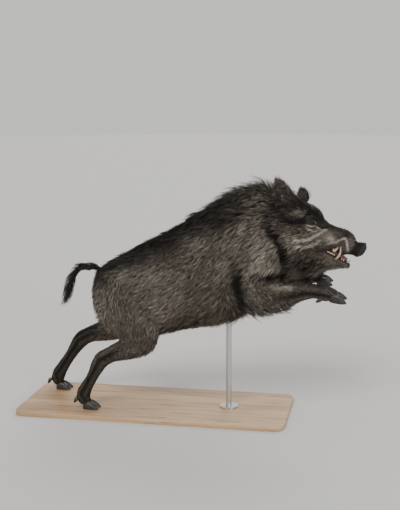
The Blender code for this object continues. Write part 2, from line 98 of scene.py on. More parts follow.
# The lie of the coat. Each chain runs the way the hair lies, through points with: x, y, z, the body's radius
# there, how deep the skin lies under the outline, the hair's length, its lift off the skin in degrees and a
# tuft's width. Legs have a table for each side, 1 the left and -1 the right, with y out from the middle.
TRUNK = (
    (0.36, 0, 0.86, 0.17, 0.02, 0.05, 22, 0.003),
    (0.24, 0, 0.85, 0.21, 0.025, 0.056, 24, 0.0033),
    (0.1, 0, 0.78, 0.26, 0.028, 0.056, 24, 0.0034),
    (-0.05, 0, 0.71, 0.28, 0.027, 0.052, 22, 0.0034),
    (-0.21, 0, 0.64, 0.27, 0.024, 0.048, 20, 0.0034),
    (-0.38, 0, 0.59, 0.25, 0.021, 0.045, 20, 0.0032),
    (-0.54, 0, 0.56, 0.2, 0.018, 0.043, 22, 0.0032),
    (-0.68, 0, 0.54, 0.12, 0.013, 0.04, 22, 0.003),
)
# In the head's frame
SKULL = (
    (0.47, 0, 0.02, 0.04, 0.0005, 0.004, 12, 0.0008),
    (0.43, 0, 0.016, 0.038, 0.001, 0.006, 8, 0.0008),
    (0.39, 0, 0.012, 0.048, 0.0025, 0.01, 9, 0.0009),
    (0.33, 0, 0.004, 0.06, 0.004, 0.015, 10, 0.0011),
    (0.25, 0, -0.03, 0.085, 0.006, 0.021, 12, 0.0014),
    (0.17, 0, -0.07, 0.12, 0.009, 0.031, 14, 0.0019),
    (0.08, 0, -0.1, 0.15, 0.013, 0.042, 22, 0.0026),
    (0.0, 0, -0.12, 0.165, 0.017, 0.052, 24, 0.003),
)
JAW = (
    (0.45, 0, -0.083, 0.018, 0.001, 0.007, 15, 0.0008),
    (0.4, 0, -0.095, 0.036, 0.003, 0.02, 22, 0.0011),
    (0.33, 0, -0.13, 0.062, 0.007, 0.036, 28, 0.0016),
    (0.25, 0, -0.17, 0.09, 0.013, 0.046, 32, 0.0022),
    (0.15, 0, -0.2, 0.11, 0.018, 0.056, 32, 0.0028),
)
FORELEG = {
    -1: (
        (0.03, 0.095, 0.65), (0.115, 0.122, 0.595), (0.205, 0.135, 0.573), (0.3, 0.138, 0.582),
        (0.385, 0.138, 0.597), (0.455, 0.137, 0.613), (0.545, 0.138, 0.604), (0.604, 0.138, 0.593),
    ),
    1: (
        (0.02, 0.095, 0.65), (0.085, 0.122, 0.605), (0.155, 0.135, 0.59), (0.238, 0.139, 0.6),
        (0.312, 0.141, 0.611), (0.37, 0.141, 0.624), (0.452, 0.141, 0.631), (0.506, 0.141, 0.627),
    ),
}
# The radius, depth, length, lift and width at the foreleg's points, the same for both
FORELEG_HAIR = (
    (0.11, 0.02, 0.045, 20, 0.003),
    (0.095, 0.016, 0.038, 20, 0.0026),
    (0.078, 0.012, 0.032, 22, 0.0024),
    (0.064, 0.009, 0.027, 22, 0.0022),
    (0.05, 0.006, 0.019, 15, 0.0015),
    (0.043, 0.004, 0.014, 13, 0.0013),
    (0.039, 0.003, 0.013, 16, 0.0012),
    (0.026, 0.002, 0.015, 20, 0.0012),
)
HINDLEG = {
    -1: (
        (-0.53, 0.09, 0.61, 0.11, 0.018, 0.046, 20, 0.0032),
        (-0.48, 0.118, 0.47, 0.112, 0.016, 0.044, 20, 0.003),
        (-0.41, 0.138, 0.352, 0.092, 0.012, 0.038, 20, 0.0026),
        (-0.478, 0.142, 0.277, 0.064, 0.008, 0.028, 18, 0.0022),
        (-0.56, 0.14, 0.238, 0.045, 0.005, 0.018, 14, 0.0015),
        (-0.626, 0.14, 0.198, 0.041, 0.004, 0.014, 13, 0.0013),
        (-0.674, 0.143, 0.112, 0.031, 0.003, 0.013, 12, 0.0012),
        (-0.726, 0.149, 0.014, 0.036, 0.003, 0.014, 16, 0.0012),
        (-0.7, 0.15, -0.032, 0.026, 0.002, 0.015, 20, 0.0012),
    ),
    1: (
        (-0.56, 0.09, 0.61, 0.11, 0.018, 0.046, 20, 0.0032),
        (-0.585, 0.118, 0.47, 0.108, 0.016, 0.044, 20, 0.003),
        (-0.61, 0.138, 0.345, 0.086, 0.012, 0.036, 20, 0.0026),
        (-0.69, 0.142, 0.288, 0.058, 0.008, 0.027, 18, 0.0022),
        (-0.768, 0.141, 0.262, 0.045, 0.005, 0.018, 14, 0.0015),
        (-0.83, 0.141, 0.226, 0.041, 0.004, 0.014, 13, 0.0013),
        (-0.892, 0.144, 0.138, 0.031, 0.003, 0.013, 12, 0.0012),
        (-0.97, 0.149, 0.018, 0.036, 0.003, 0.014, 16, 0.0012),
        (-0.956, 0.15, -0.032, 0.026, 0.002, 0.015, 20, 0.0012),
    ),
}
TAIL = (
    (-0.62, 0, 0.648, 0.032, 0.004, 0.034, 22, 0.0022),
    (-0.7, 0, 0.672, 0.021, 0.001, 0.032, 26, 0.002),
    (-0.778, 0.003, 0.67, 0.015, 0, 0.032, 28, 0.002),
    (-0.819, 0.001, 0.615, 0.017, 0.002, 0.046, 24, 0.002),
    (-0.842, -0.003, 0.548, 0.02, 0.006, 0.062, 17, 0.0021),
    (-0.858, -0.006, 0.5, 0.012, 0.005, 0.06, 12, 0.002),
)
# Root, length and way of each ear in the head's frame, then the radius and the hair at its ends
EARS = {
    1: ((0.06, 0.078, 0.03), 0.112, (-0.56, 0.7, 0.36)),
    -1: ((0.034, -0.08, 0.03), 0.15, (-0.76, -0.34, 0.56)),
}
EAR_ROOT = (0.042, 0.0024, 0.028, 20, 0.0016)
EAR_TIP = (0.04, 0.0018, 0.026, 23, 0.0015)


def chain(stations, side=1, in_head=False):
    """The stations as a table with their places in the world, mirrored for the right side."""
    table = np.array(stations, float)
    table[:, 1] *= side
    table[:, :3] = from_head(table[:, :3]) if in_head else table[:, :3] + np.array(ANIMAL)
    return table


chains = {"trunk": chain(TRUNK), "tail": chain(TAIL)}
chains |= {"skull": chain(SKULL, in_head=True), "jaw": chain(JAW, in_head=True)}
for word, side in SIDES.items():
    fore_stations = [(*place, *hair) for place, hair in zip(FORELEG[side], FORELEG_HAIR)]
    chains[f"foreleg_{word}"] = chain(fore_stations, side)
    chains[f"hindleg_{word}"] = chain(HINDLEG[side], side)
    root, ear_length, way = EARS[side]
    way = np.array(way) / np.linalg.norm(way)
    ends = from_head([np.array(root) + way * 0.02, np.array(root) + way * ear_length])
    chains[f"ear_{word}"] = np.array([(*ends[0], *EAR_ROOT), (*ends[1], *EAR_TIP)])


def lie_of(points):
    """For each point: the hair's way, its depth, length, lift and width, and each chain's share in them."""
    ways, facts, weights = np.zeros((len(points), 3)), np.zeros((len(points), 4)), np.zeros(len(points))
    share = {name: np.zeros(len(points)) for name in chains}
    for name, table in chains.items():
        for start, stop in zip(table, table[1:]):
            line = stop[:3] - start[:3]
            t = np.clip((points - start[:3]) @ line / (line @ line), 0, 1)
            apart = np.linalg.norm(points - start[:3] - t[:, None] * line, axis=1)
            radius = start[3] + t * (stop[3] - start[3])
            weight = (apart / radius + 0.05) ** -7
            ways += weight[:, None] * line / np.linalg.norm(line)
            facts += weight[:, None] * (start[4:] + t[:, None] * (stop[4:] - start[4:]))
            weights += weight
            share[name] += weight
    return ways, facts / weights[:, None], {name: s / weights for name, s in share.items()}


def rise(low, high, x):
    """0 at low and 1 at high, with a smooth rise between them."""
    t = np.clip((x - low) / (high - low), 0, 1)
    return t * t * (3 - 2 * t)


def mesh_of(bm, name):
    mesh = bpy.data.meshes.new(name)
    bm.to_mesh(mesh)
    bm.free()
    return mesh


def placed(name, mesh):
    """An object of this mesh, in the scene."""
    made = bpy.data.objects.new(name, mesh)
    bpy.context.scene.collection.objects.link(made)
    return made


def settled(obj):
    """The object with its modifiers made part of its mesh."""
    bpy.context.view_layer.update()
    evaluated = obj.evaluated_get(bpy.context.evaluated_depsgraph_get())
    mesh = bpy.data.meshes.new_from_object(evaluated)
    obj.modifiers.clear()
    obj.data = mesh
    return obj


def melted(name, nodes, fineness, smoothing, grow=0.0, plugs=()):
    """Copies of solids, grown so that neighbours overlap, melted into one smooth closed body."""
    bm = bmesh.new()
    for source in nodes:
        part = bmesh.new()
        part.from_mesh(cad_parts[source].data)
        bmesh.ops.remove_doubles(part, verts=part.verts, dist=1e-6)
        part.normal_update()
        for vertex, normal in [(v, v.normal.copy()) for v in part.verts]:
            vertex.co += normal * grow
        copy = mesh_of(part, source)
        bm.from_mesh(copy)
        bpy.data.meshes.remove(copy)
    for middle, radius, height in plugs:
        place = Matrix.Translation(middle)
        bmesh.ops.create_cone(
            bm, cap_ends=True, segments=24, radius1=radius, radius2=radius, depth=height, matrix=place,
        )
    made = placed(name, mesh_of(bm, name))
    melt = made.modifiers.new("melt", "REMESH")
    melt.mode = "VOXEL"
    melt.voxel_size = fineness
    smooth = made.modifiers.new("smooth", "SMOOTH")
    smooth.iterations = smoothing
    return settled(made)


def read_points(mesh):
    """Points and normals of a mesh."""
    found, normals = np.empty(len(mesh.vertices) * 3), np.empty(len(mesh.vertices) * 3, np.float32)
    mesh.vertices.foreach_get("co", found)
    mesh.vertex_normals.foreach_get("vector", normals)
    return found.reshape(-1, 3), normals.reshape(-1, 3).astype(float)


def put_points(mesh, points):
    mesh.vertices.foreach_set("co", points.astype(np.float32).ravel())
    mesh.update()


def mouth_line(along):
    """Height of the line between the lips in the head's frame."""
    return -0.07 + 0.097 * (along - 0.309)


def lip_share(local):
    """1 on the lips and inside the mouth, where the hair is too short to have any depth."""
    along, across, up = local.T
    from_line = np.abs(up - mouth_line(along))
    lips = rise(0.255, 0.3, along) * rise(0.028, 0.012, from_line)
    return lips * rise(0.075, 0.06, np.abs(across))


def largest_island(bm):
    """Removes every loose piece but the largest."""
    left, islands = set(bm.verts), []
    while left:
        start = left.pop()
        found, edge = [start], [start]
        while edge:
            for link in edge.pop().link_edges:
                for other in link.verts:
                    if other in left:
                        left.discard(other)
                        found.append(other)
                        edge.append(other)
        islands.append(found)
    islands.sort(key=len)
    bmesh.ops.delete(bm, geom=[v for found in islands[:-1] for v in found], context="VERTS")


SKIN_FINENESS = 0.004
SKIN_SMOOTHING = 6
THINNED_TO = 0.28  # share of the faces kept
LONG_EDGE = 0.0035
EYE_REACH = 0.03
CREST_DEPTH = 0.008  # the skin lies deeper under the crest
EYES = {}
for word, side in SIDES.items():
    eye_low, eye_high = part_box(f"eye_{word}")
    EYES[side] = np.array((eye_low + eye_high) / 2)
EYE_RADIUS = (eye_high.z - eye_low.z) / 2
EYE = np.abs(to_head(EYES[-1][None])[0])  # along, across and up in the head's frame
PLUG_RADIUS, PLUG_HEIGHT = 0.019, 0.072  # closes the bore round the rod's top
rod_low, rod_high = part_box("stand_rod")
plug_middle = ((rod_low.x + rod_high.x) / 2, (rod_low.y + rod_high.y) / 2, rod_high.z - 0.034)
plug = (plug_middle, PLUG_RADIUS, PLUG_HEIGHT)
skin = melted("skin", FLESH + ("eye_left", "eye_right"), SKIN_FINENESS, SKIN_SMOOTHING, 0.001, [plug])

# It is drawn in by the coat's depth, which runs out on the lips and round the eyes.
points, normals = read_points(skin.data)
_, facts, share = lie_of(points)
local = to_head(points)
crest = rise(0.7, 0.95, normals[:, 2]) * share["trunk"]
near_eye = np.minimum(*(np.linalg.norm(points - middle, axis=1) for middle in EYES.values()))
depth = (facts[:, 0] + CREST_DEPTH * crest) * (1 - 0.85 * lip_share(local))
depth *= 0.15 + 0.85 * rise(0.018, 0.06, near_eye)
points -= normals * depth[:, None]
put_points(skin.data, points)

# Faces are thinned where long hair hides them. Then long edges are halved on the face, and all edges on the
# snout and round the eyes.
fine = np.maximum(share["skull"] + share["jaw"], share["ear_left"] + share["ear_right"])
fine = np.maximum(fine * rise(0.0, 0.06, local[:, 0]), rise(0.03, 0.016, facts[:, 1]))
group = skin.vertex_groups.new(name="fine")
for level in range(11):
    group.add(np.flatnonzero(np.round(fine * 10) == level).tolist(), level / 10, "REPLACE")
thin = skin.modifiers.new("thin", "DECIMATE")
thin.ratio = THINNED_TO
thin.vertex_group = "fine"
thin.invert_vertex_group = True
thin.vertex_group_factor = 1.0
settled(skin)
bm = bmesh.new()
bm.from_mesh(skin.data)
largest_island(bm)
for reach in (None, EYE_REACH):
    centres = np.array([f.calc_center_median() for f in bm.faces])
    along = to_head(centres)[:, 0]
    chosen = (along > 0.1) & (along < 0.6) & (centres[:, 2] > FACE_FLOOR)
    if reach:
        chosen &= along > 0.43
        for middle in EYES.values():
            chosen |= np.linalg.norm(centres - middle, axis=1) < reach
    bm.faces.ensure_lookup_table()
    edges = {edge for i in np.flatnonzero(chosen) for edge in bm.faces[i].edges}
    if not reach:
        edges = {edge for edge in edges if edge.calc_length() > LONG_EDGE}
    bmesh.ops.subdivide_edges(bm, edges=list(edges), cuts=1, use_grid_fill=True, smooth=0.5)
bmesh.ops.triangulate(bm, faces=bm.faces)
bm.to_mesh(skin.data)
bm.free()

# Folds of the face, each through points along and up from the eye: path, height, width and the tint of its
# hair,
# which is painted light: above 0 pale hair paints a highlight along the fold, below 0 dark hair paints shade
# in it
FOLDS = (
    # brow, with painted shade under it, and the fold over it, with a painted highlight
    (((-0.055, -0.018), (-0.048, 0.02), (-0.028, 0.034), (0, 0.036), (0.018, 0.028)), 0.006, 0.01, -0.9),
    (((-0.098, -0.009), (-0.07, 0.018), (-0.04, 0.044), (-0.012, 0.056)), 0.004, 0.013, 0.25),
    # bag under the eye, and the fold under the bag, both with painted highlights
    (((-0.018, -0.032), (0, -0.026), (0.02, -0.012), (0.05, -0.014), (0.075, -0.004)), 0.0028, 0.0058, 1.3),
    (((-0.03, -0.036), (-0.004, -0.046), (0.03, -0.036), (0.072, -0.006)), 0.0024, 0.006, 0.8),
    # hollow behind the eye, with painted shade in it
    (((-0.022, -0.01), (-0.06, -0.042), (-0.1, -0.066), (-0.14, -0.08)), -0.003, 0.024, -1.0),
    # two folds of the cheek, with painted highlights
    (((0.072, -0.006), (0.05, -0.046), (0.022, -0.094), (-0.028, -0.132)), 0.0034, 0.01, 1.0),
    (((0.08, -0.062), (0.056, -0.108), (0.02, -0.136), (-0.004, -0.158)), 0.003, 0.0095, 0.9),
    # snarl beside the muzzle, and the edge of the lifted lip, both with painted highlights
    (((0.108, -0.068), (0.135, -0.04), (0.16, -0.006), (0.176, 0.014)), 0.003, 0.006, 0.6),
    (
        ((0.15, -0.03), (0.164, 0.004), (0.176, 0.018), (0.194, 0.004), (0.21, -0.016), (0.222, -0.034)),
        0.0048, 0.0075, 1.0,
    ),
)


def line_share(flat, path, width):
    """1 along a path on the animal's side, fading across it and to its ends."""
    best, along = np.full(len(flat), 9.0), np.zeros(len(flat))
    path = np.array(path)
    pieces = len(path) - 1
    for i, (start, stop) in enumerate(zip(path, path[1:])):
        line = stop - start
        t = np.clip((flat - start) @ line / (line @ line), 0, 1)
        apart = np.linalg.norm(flat - start - t[:, None] * line, axis=1)
        along = np.where(apart < best, (i + t) / pieces, along)
        best = np.minimum(best, apart)
    return np.exp(-((best / width) ** 2)) * np.minimum(1, 0.35 + 3 * np.minimum(along, 1 - along))


def blob(points, middle, sizes):
    """1 at the middle, falling smoothly to 0.14 at one size away."""
    return np.exp(-2 * (((points - np.array(middle)) / np.array(sizes)) ** 2).sum(1))


def folded(local):
    """Points of the head with its right side laid over its left."""
    return np.stack([local[:, 0], np.abs(local[:, 1]), local[:, 2]], axis=1)


# Hollows and swellings of the face: height, middle and sizes in the head's frame
FACE_SWELLS = (
    (-0.003, EYE + (0.004, 0, 0.004), (0.026, 0.034, 0.02)),  # socket
    (0.005, EYE + (-0.05, 0.01, -0.03), (0.05, 0.04, 0.02)),  # cheekbone
    (-0.006, EYE + (-0.07, 0, 0.028), (0.028, 0.032, 0.02)),  # temple
    (-0.004, (EYE[0] + 0.115, 0.052, EYE[2] - 0.01), (0.036, 0.02, 0.02)),  # hollow before the eye
    (-0.005, (0.362, 0.05, -0.012), (0.012, 0.02, 0.018)),  # under the lifted lip
    (0.015, (0.345, 0, -0.052), (0.055, 0.036, 0.014)),  # palate
)
SNOUT_FACE = 0.452  # how far along the snout's rim is
DISC_UP = 0.02  # height of the snout disc's middle


def face_shape(local):
    """How far the face's skin stands out, from points in the head's frame."""
    local = folded(local)
    along, across, up = local.T
    out = sum(height * blob(local, middle, sizes) for height, middle, sizes in FACE_SWELLS)
    side = rise(0.018, 0.034, across)
    for path, height, width, _ in FOLDS:
        out += height * line_share(local[:, (0, 2)] - EYE[[0, 2]], path, width) * side
    # the disc is rounded off at its edge and swells in its middle, behind a rim and a fold over it
    from_disc = np.hypot(across, up - DISC_UP)
    out -= 0.007 * rise(SNOUT_FACE, 0.472, along) * rise(0.02, 0.044, from_disc)
    out += 0.0045 * rise(0.455, 0.466, along) * rise(0.038, 0.004, from_disc)
    out += 0.0018 * np.exp(-(((along - SNOUT_FACE) / 0.007) ** 2))
    out += 0.003 * np.exp(-(((along - 0.428) / 0.012) ** 2)) * rise(0.0, 0.03, up)
    # wrinkles over the snout
    ridge = rise(0.29, 0.33, along) * rise(0.425, 0.405, along) * rise(0.03, 0.012, across) * (up > 0.02)
    return out + 0.0012 * np.sin(along / 0.0021) * ridge


points, normals = read_points(skin.data)
local = to_head(points)
faced = rise(0.05, 0.1, local[:, 0]) * rise(0.2, 0.14, np.abs(local[:, 1]))
faced *= points[:, 2] > FACE_FLOOR
points += normals * (face_shape(local) * faced)[:, None]

# Lines of the body, each through points along and up in the animal's own space: path, height, width, tint.
# They run behind the elbow, over the forearm, behind the cheek, on the shoulder's point and on the forearm.
# The
# tints are painted light: dark hair paints shade in the creases behind the elbow, over the forearm and
# behind the cheek, and pale hair paints highlights on the shoulder's point and on the forearm.
BODY_LINES = (
    (((0.1, 0.74), (0.11, 0.64), (0.122, 0.56), (0.138, 0.5)), -0.014, 0.032, -1.0),
    (((0.2, 0.658), (0.258, 0.676), (0.31, 0.681), (0.37, 0.676)), -0.01, 0.015, -1.0),
    (((0.243, 0.935), (0.285, 0.885), (0.318, 0.84), (0.332, 0.78), (0.324, 0.7)), -0.012, 0.02, -1.0),
    (((0.215, 0.704), (0.255, 0.712), (0.283, 0.722)), 0.006, 0.016, 0.6),
    (((0.285, 0.62), (0.34, 0.631), (0.4, 0.635)), 0.003, 0.015, 0.5),
)
# Lines down each lower leg: how far behind its middle, as a share of its radius, height, width, tint. The
# tints are painted light: dark hair paints shade in the groove, pale hair paints highlights on the tendon
# and the front of the cannon
LEG_LINES = ((0.15, -0.0024, 0.008, -0.4), (0.62, 0.0016, 0.007, 0.16), (-0.45, 0.0012, 0.008, 0.12))


def body_lines(own, normals):
    """For each line of the body and legs: how fully every point lies on it, its height and its tint, which
    is painted light.
    """
    flank = rise(0.15, 0.5, np.abs(normals[:, 1]))
    for path, height, width, painted_light in BODY_LINES:
        yield line_share(own[:, (0, 2)], path, width) * flank, height, painted_light
    for name in [name for name in chains if "leg" in name]:
        path = chains[name][3:, (0, 2)] - (ANIMAL.x, ANIMAL.z)
        down = np.gradient(path, axis=0)
        down /= np.linalg.norm(down, axis=1, keepdims=True)
        behind = np.stack([down[:, 1], -down[:, 0]], axis=1) * chains[name][3:, 3:4]
        beside = flank * rise(0.03, 0.06, own[:, 1] * (1 if "left" in name else -1))
        for part_behind, height, width, painted_light in LEG_LINES:
            yield line_share(own[:, (0, 2)], path + part_behind * behind, width) * beside, height, painted_light


for line, height, _ in body_lines(to_animal(points), normals):
    points += normals * (height * line)[:, None]

NOSTRIL_APART, NOSTRIL_DEPTH = 0.0165, 0.015  # how far each is from the middle, and how deep
NOSTRIL_HALF = (0.0066, 0.0092)  # half width and half height
for side in SIDES.values():
    across, up = local[:, 1] - side * NOSTRIL_APART, local[:, 2] - DISC_UP
    hole = np.hypot(across / NOSTRIL_HALF[0], up / NOSTRIL_HALF[1])
    sunk = rise(1.1, 0.6, hole) * rise(0.446, 0.458, local[:, 0])
    points -= HEAD_TURN[:, 0] * (sunk * NOSTRIL_DEPTH)[:, None]
put_points(skin.data, points)


def eye_axes(side):
    """Out along the gaze, ahead towards the snout and up, for the eye on one side."""
    out = HEAD_TURN @ np.array((0.34, 0.93 * side, 0.1))
    out /= np.linalg.norm(out)
    ahead = HEAD_TURN[:, 0] - out * (HEAD_TURN[:, 0] @ out)
    ahead /= np.linalg.norm(ahead)
    return out, ahead, np.cross(out, ahead) * side


# Lids: round an almond opening a patch of skin rides over the eyeball and runs out into the face, where the
# skin beneath it is sunk.
LID_HALF = (0.0114, 0.0062)  # the opening's half length and half height
LID_TILT = math.radians(-14)
LID_TURNS = 48
# Out from the opening's edge, the rise above eyeball or face, and how much of the height is the face's
LID_ROWS = (
    (0.0, 0.0002, 0.0), (0.0002, 0.0012, 0.0), (0.0012, 0.0021, 0.0), (0.0028, 0.002, 0.0),
    (0.0042, 0.0009, 0.1), (0.006, 0.0015, 0.3), (0.0088, 0.0012, 0.7), (0.0125, 0.0007, 1.0),
    (0.0165, -0.0014, 1.0),
)
BARE_ROWS = 4
SUNK, SUNK_REACH = 0.0075, 0.0115  # how deep the skin under the lids is sunk, and how far round the opening


def lid_place(away, angle):
    """Ahead and up from the eye's middle, for a place this far out from the almond's edge at this angle."""
    c, s = math.cos(angle), math.sin(angle)
    x = (LID_HALF[0] + away) * math.copysign(abs(c) ** 0.85, c)
    flatness = 1.3 - 40 * min(away, 0.0075)
    y = (LID_HALF[1] * (1.0 if s > 0 else 0.8) + away) * math.copysign(abs(s) ** flatness, s)
    return x * math.cos(LID_TILT) - y * math.sin(LID_TILT), x * math.sin(LID_TILT) + y * math.cos(LID_TILT)


face_tree = BVHTree.FromPolygons(points.tolist(), [tuple(f.vertices) for f in skin.data.polygons])
lid_points, lid_faces, lid_bare, under_lids = [], [], [], np.zeros(len(points))
for side, middle in EYES.items():
    out, ahead, up = eye_axes(side)
    base = len(lid_points)
    for row, (away, proud, face_share) in enumerate(LID_ROWS):
        for k in range(LID_TURNS):
            x, y = lid_place(away, 2 * math.pi * k / LID_TURNS)
            flat = math.hypot(x, y)
            foot = middle + ahead * x + up * y
            hit = face_tree.ray_cast(Vector(foot + out * 0.05), Vector(-out))[0]
            face_height = (np.array(hit) - foot) @ out
            ball_height = math.sqrt(max(EYE_RADIUS**2 - flat**2, 0))
            part_face = max(face_share, float(rise(0.75, 1.1, flat / EYE_RADIUS)))
            height = ball_height * (1 - part_face) + face_height * part_face + proud
            lid_points.append(foot + out * height)
            lid_bare.append(1.0 if row < BARE_ROWS else 0.4 * (row == BARE_ROWS))
    for row in range(len(LID_ROWS) - 1):
        for k in range(LID_TURNS):
            a, b = base + row * LID_TURNS + k, base + row * LID_TURNS + (k + 1) % LID_TURNS
            face = (a, b, b + LID_TURNS, a + LID_TURNS)
            lid_faces.append(face if side > 0 else face[::-1])
    off = points - middle
    x, y = off @ ahead, off @ up
    x, y = x * math.cos(LID_TILT) + y * math.sin(LID_TILT), y * math.cos(LID_TILT) - x * math.sin(LID_TILT)
    ring = np.hypot(x / (LID_HALF[0] + SUNK_REACH), y / (LID_HALF[1] + SUNK_REACH))
    under = rise(1.0, 0.8, ring) * (off @ out > 0)
    points -= out * (SUNK * under)[:, None]
    under_lids = np.maximum(under_lids, under)
put_points(skin.data, points)
bm = bmesh.new()
bm.from_mesh(skin.data)
verts = [bm.verts.new(p) for p in lid_points]
for face in lid_faces:
    bm.faces.new([verts[i] for i in face])
bm.to_mesh(skin.data)
bm.free()
hidden = np.concatenate([under_lids, lid_bare])


def node(tree, kind, **settings):
    """A shader node with its settings, and its unlinked sockets set by name or number."""
    made = tree.nodes.new(kind)
    for key, value in settings.items():
        if key == "sockets":
            for socket, number in value.items():
                made.inputs[socket].default_value = number
        else:
            setattr(made, key, value)
    return made


def feed(tree, source, socket):
    """Links the socket to another, or sets it to a value or a colour."""
    if isinstance(source, bpy.types.NodeSocket):
        tree.links.new(source, socket)
    else:
        socket.default_value = source if isinstance(source, float) else (*source, 1.0)


def mixed(tree, factor, first, second):
    """A colour mix. Each of the three is a socket to link, or a value."""
    made = node(tree, "ShaderNodeMix", data_type="RGBA")
    for slot, value in ((0, factor), (6, first), (7, second)):
        feed(tree, value, made.inputs[slot])
    return made.outputs[2]


def ramped(tree, value, low, high, to_low=0.0, to_high=1.0):
    """A value taken smoothly from one range to another."""
    made = node(tree, "ShaderNodeMapRange", interpolation_type="SMOOTHSTEP")
    feed(tree, value, made.inputs[0])
    for slot, number in zip((1, 2, 3, 4), (low, high, to_low, to_high)):
        made.inputs[slot].default_value = number
    return made.outputs[0]


def graded(tree, value, low, high, first, second):
    """A colour that goes smoothly from the first to the second as the value goes from low to high."""
    return mixed(tree, ramped(tree, value, low, high), first, second)


def attribute(tree, name):
    return node(tree, "ShaderNodeAttribute", attribute_name=name).outputs["Fac"]


# Grain: an uneven noise at each place, squeezed along an axis or, below 1, drawn out along it. It marbles
# and roughens skin, glass, ivory, tongue, horn, oak and steel.
grain = bpy.data.node_groups.new("grain", "ShaderNodeTree")
for label in ("Place", "Squeeze"):
    grain.interface.new_socket(label, in_out="INPUT", socket_type="NodeSocketVector")
for label in ("Scale", "Detail", "Roughness"):
    grain.interface.new_socket(label, in_out="INPUT", socket_type="NodeSocketFloat")
grain.interface.new_socket("Height", in_out="OUTPUT", socket_type="NodeSocketFloat")
asked = grain.nodes.new("NodeGroupInput").outputs
squeezed, noise = node(grain, "ShaderNodeMapping"), node(grain, "ShaderNodeTexNoise")
feed(grain, asked["Place"], squeezed.inputs["Vector"])
feed(grain, asked["Squeeze"], squeezed.inputs["Scale"])
feed(grain, squeezed.outputs["Vector"], noise.inputs["Vector"])
for label in ("Scale", "Detail", "Roughness"):
    feed(grain, asked[label], noise.inputs[label])
feed(grain, noise.outputs["Fac"], grain.nodes.new("NodeGroupOutput").inputs["Height"])


def grained(tree, scale, detail=3.0, roughness=0.55, squeeze=(1.0, 1.0, 1.0)):
    """The grain's height in a material, in the model's own space."""
    values = {"Scale": scale, "Detail": detail, "Roughness": roughness, "Squeeze": squeeze}
    made = node(tree, "ShaderNodeGroup", node_tree=grain, sockets=values)
    feed(tree, node(tree, "ShaderNodeTexCoord").outputs["Object"], made.inputs["Place"])
    return made.outputs["Height"]


def bumped(tree, shader, height, distance, strength):
    made = node(tree, "ShaderNodeBump", sockets={"Strength": strength, "Distance": distance})
    feed(tree, height, made.inputs["Height"])
    feed(tree, made.outputs["Normal"], shader.inputs["Normal"])


def new_material(name, **settings):
    """(material, its tree, its Principled shader), with the shader's unlinked sockets set by name."""
    made = bpy.data.materials.new(name)
    made.use_nodes = True
    shader = made.node_tree.nodes["Principled BSDF"]
    for label, value in settings.items():
        shader.inputs[label.replace("_", " ")].default_value = value
    return made, made.node_tree, shader


# Hair colour: dark at the root, brown along the shaft, and a tip between brown and pale grizzle. Pale and
# dark hair have their own root and tip; the pale and dark shares carry the coat's markings together with
# painted highlights and painted shade. Skin and coat both use it.
HAIR_ROOT, HAIR_BROWN, HAIR_GRIZZLE = (0.012, 0.01, 0.008), (0.08, 0.064, 0.05), (0.82, 0.725, 0.6)
PALE_ROOT, PALE_BROWN, PALE_GRIZZLE = (0.045, 0.036, 0.028), (0.32, 0.28, 0.225), (0.76, 0.705, 0.61)
DARK_ROOT, DARK_TIP = (0.005, 0.004, 0.004), (0.022, 0.018, 0.015)
hair_colour = bpy.data.node_groups.new("hair_colour", "ShaderNodeTree")
for label, default in (("Along", 0.0), ("Tone", 0.5), ("Pale", 0.0), ("Dark", 0.0)):
    socket = hair_colour.interface.new_socket(label, in_out="INPUT", socket_type="NodeSocketFloat")
    socket.default_value = default
hair_colour.interface.new_socket("Color", in_out="OUTPUT", socket_type="NodeSocketColor")
along, tone, pale, dark = hair_colour.nodes.new("NodeGroupInput").outputs[:4]
tip = graded(hair_colour, tone, 0.38, 1.0, HAIR_BROWN, HAIR_GRIZZLE)
shaft = graded(hair_colour, along, 0.0, 0.55, HAIR_ROOT, HAIR_BROWN)
shade = graded(hair_colour, along, 0.35, 1.0, shaft, tip)
pale_tip = graded(hair_colour, tone, 0.0, 0.9, PALE_BROWN, PALE_GRIZZLE)
shade = mixed(hair_colour, pale, shade, graded(hair_colour, along, 0.0, 0.7, PALE_ROOT, pale_tip))
shade = mixed(hair_colour, dark, shade, graded(hair_colour, along, 0.2, 1.0, DARK_ROOT, DARK_TIP))
feed(hair_colour, shade, hair_colour.nodes.new("NodeGroupOutput").inputs["Color"])


def hair_shade(tree, along):
    """The hair colour in a material, from the mesh's tone, pale and dark."""
    made = node(tree, "ShaderNodeGroup", node_tree=hair_colour)
    feed(tree, along, made.inputs["Along"])
    for label in ("Tone", "Pale", "Dark"):
        feed(tree, attribute(tree, label.lower()), made.inputs[label])
    return made.outputs["Color"]
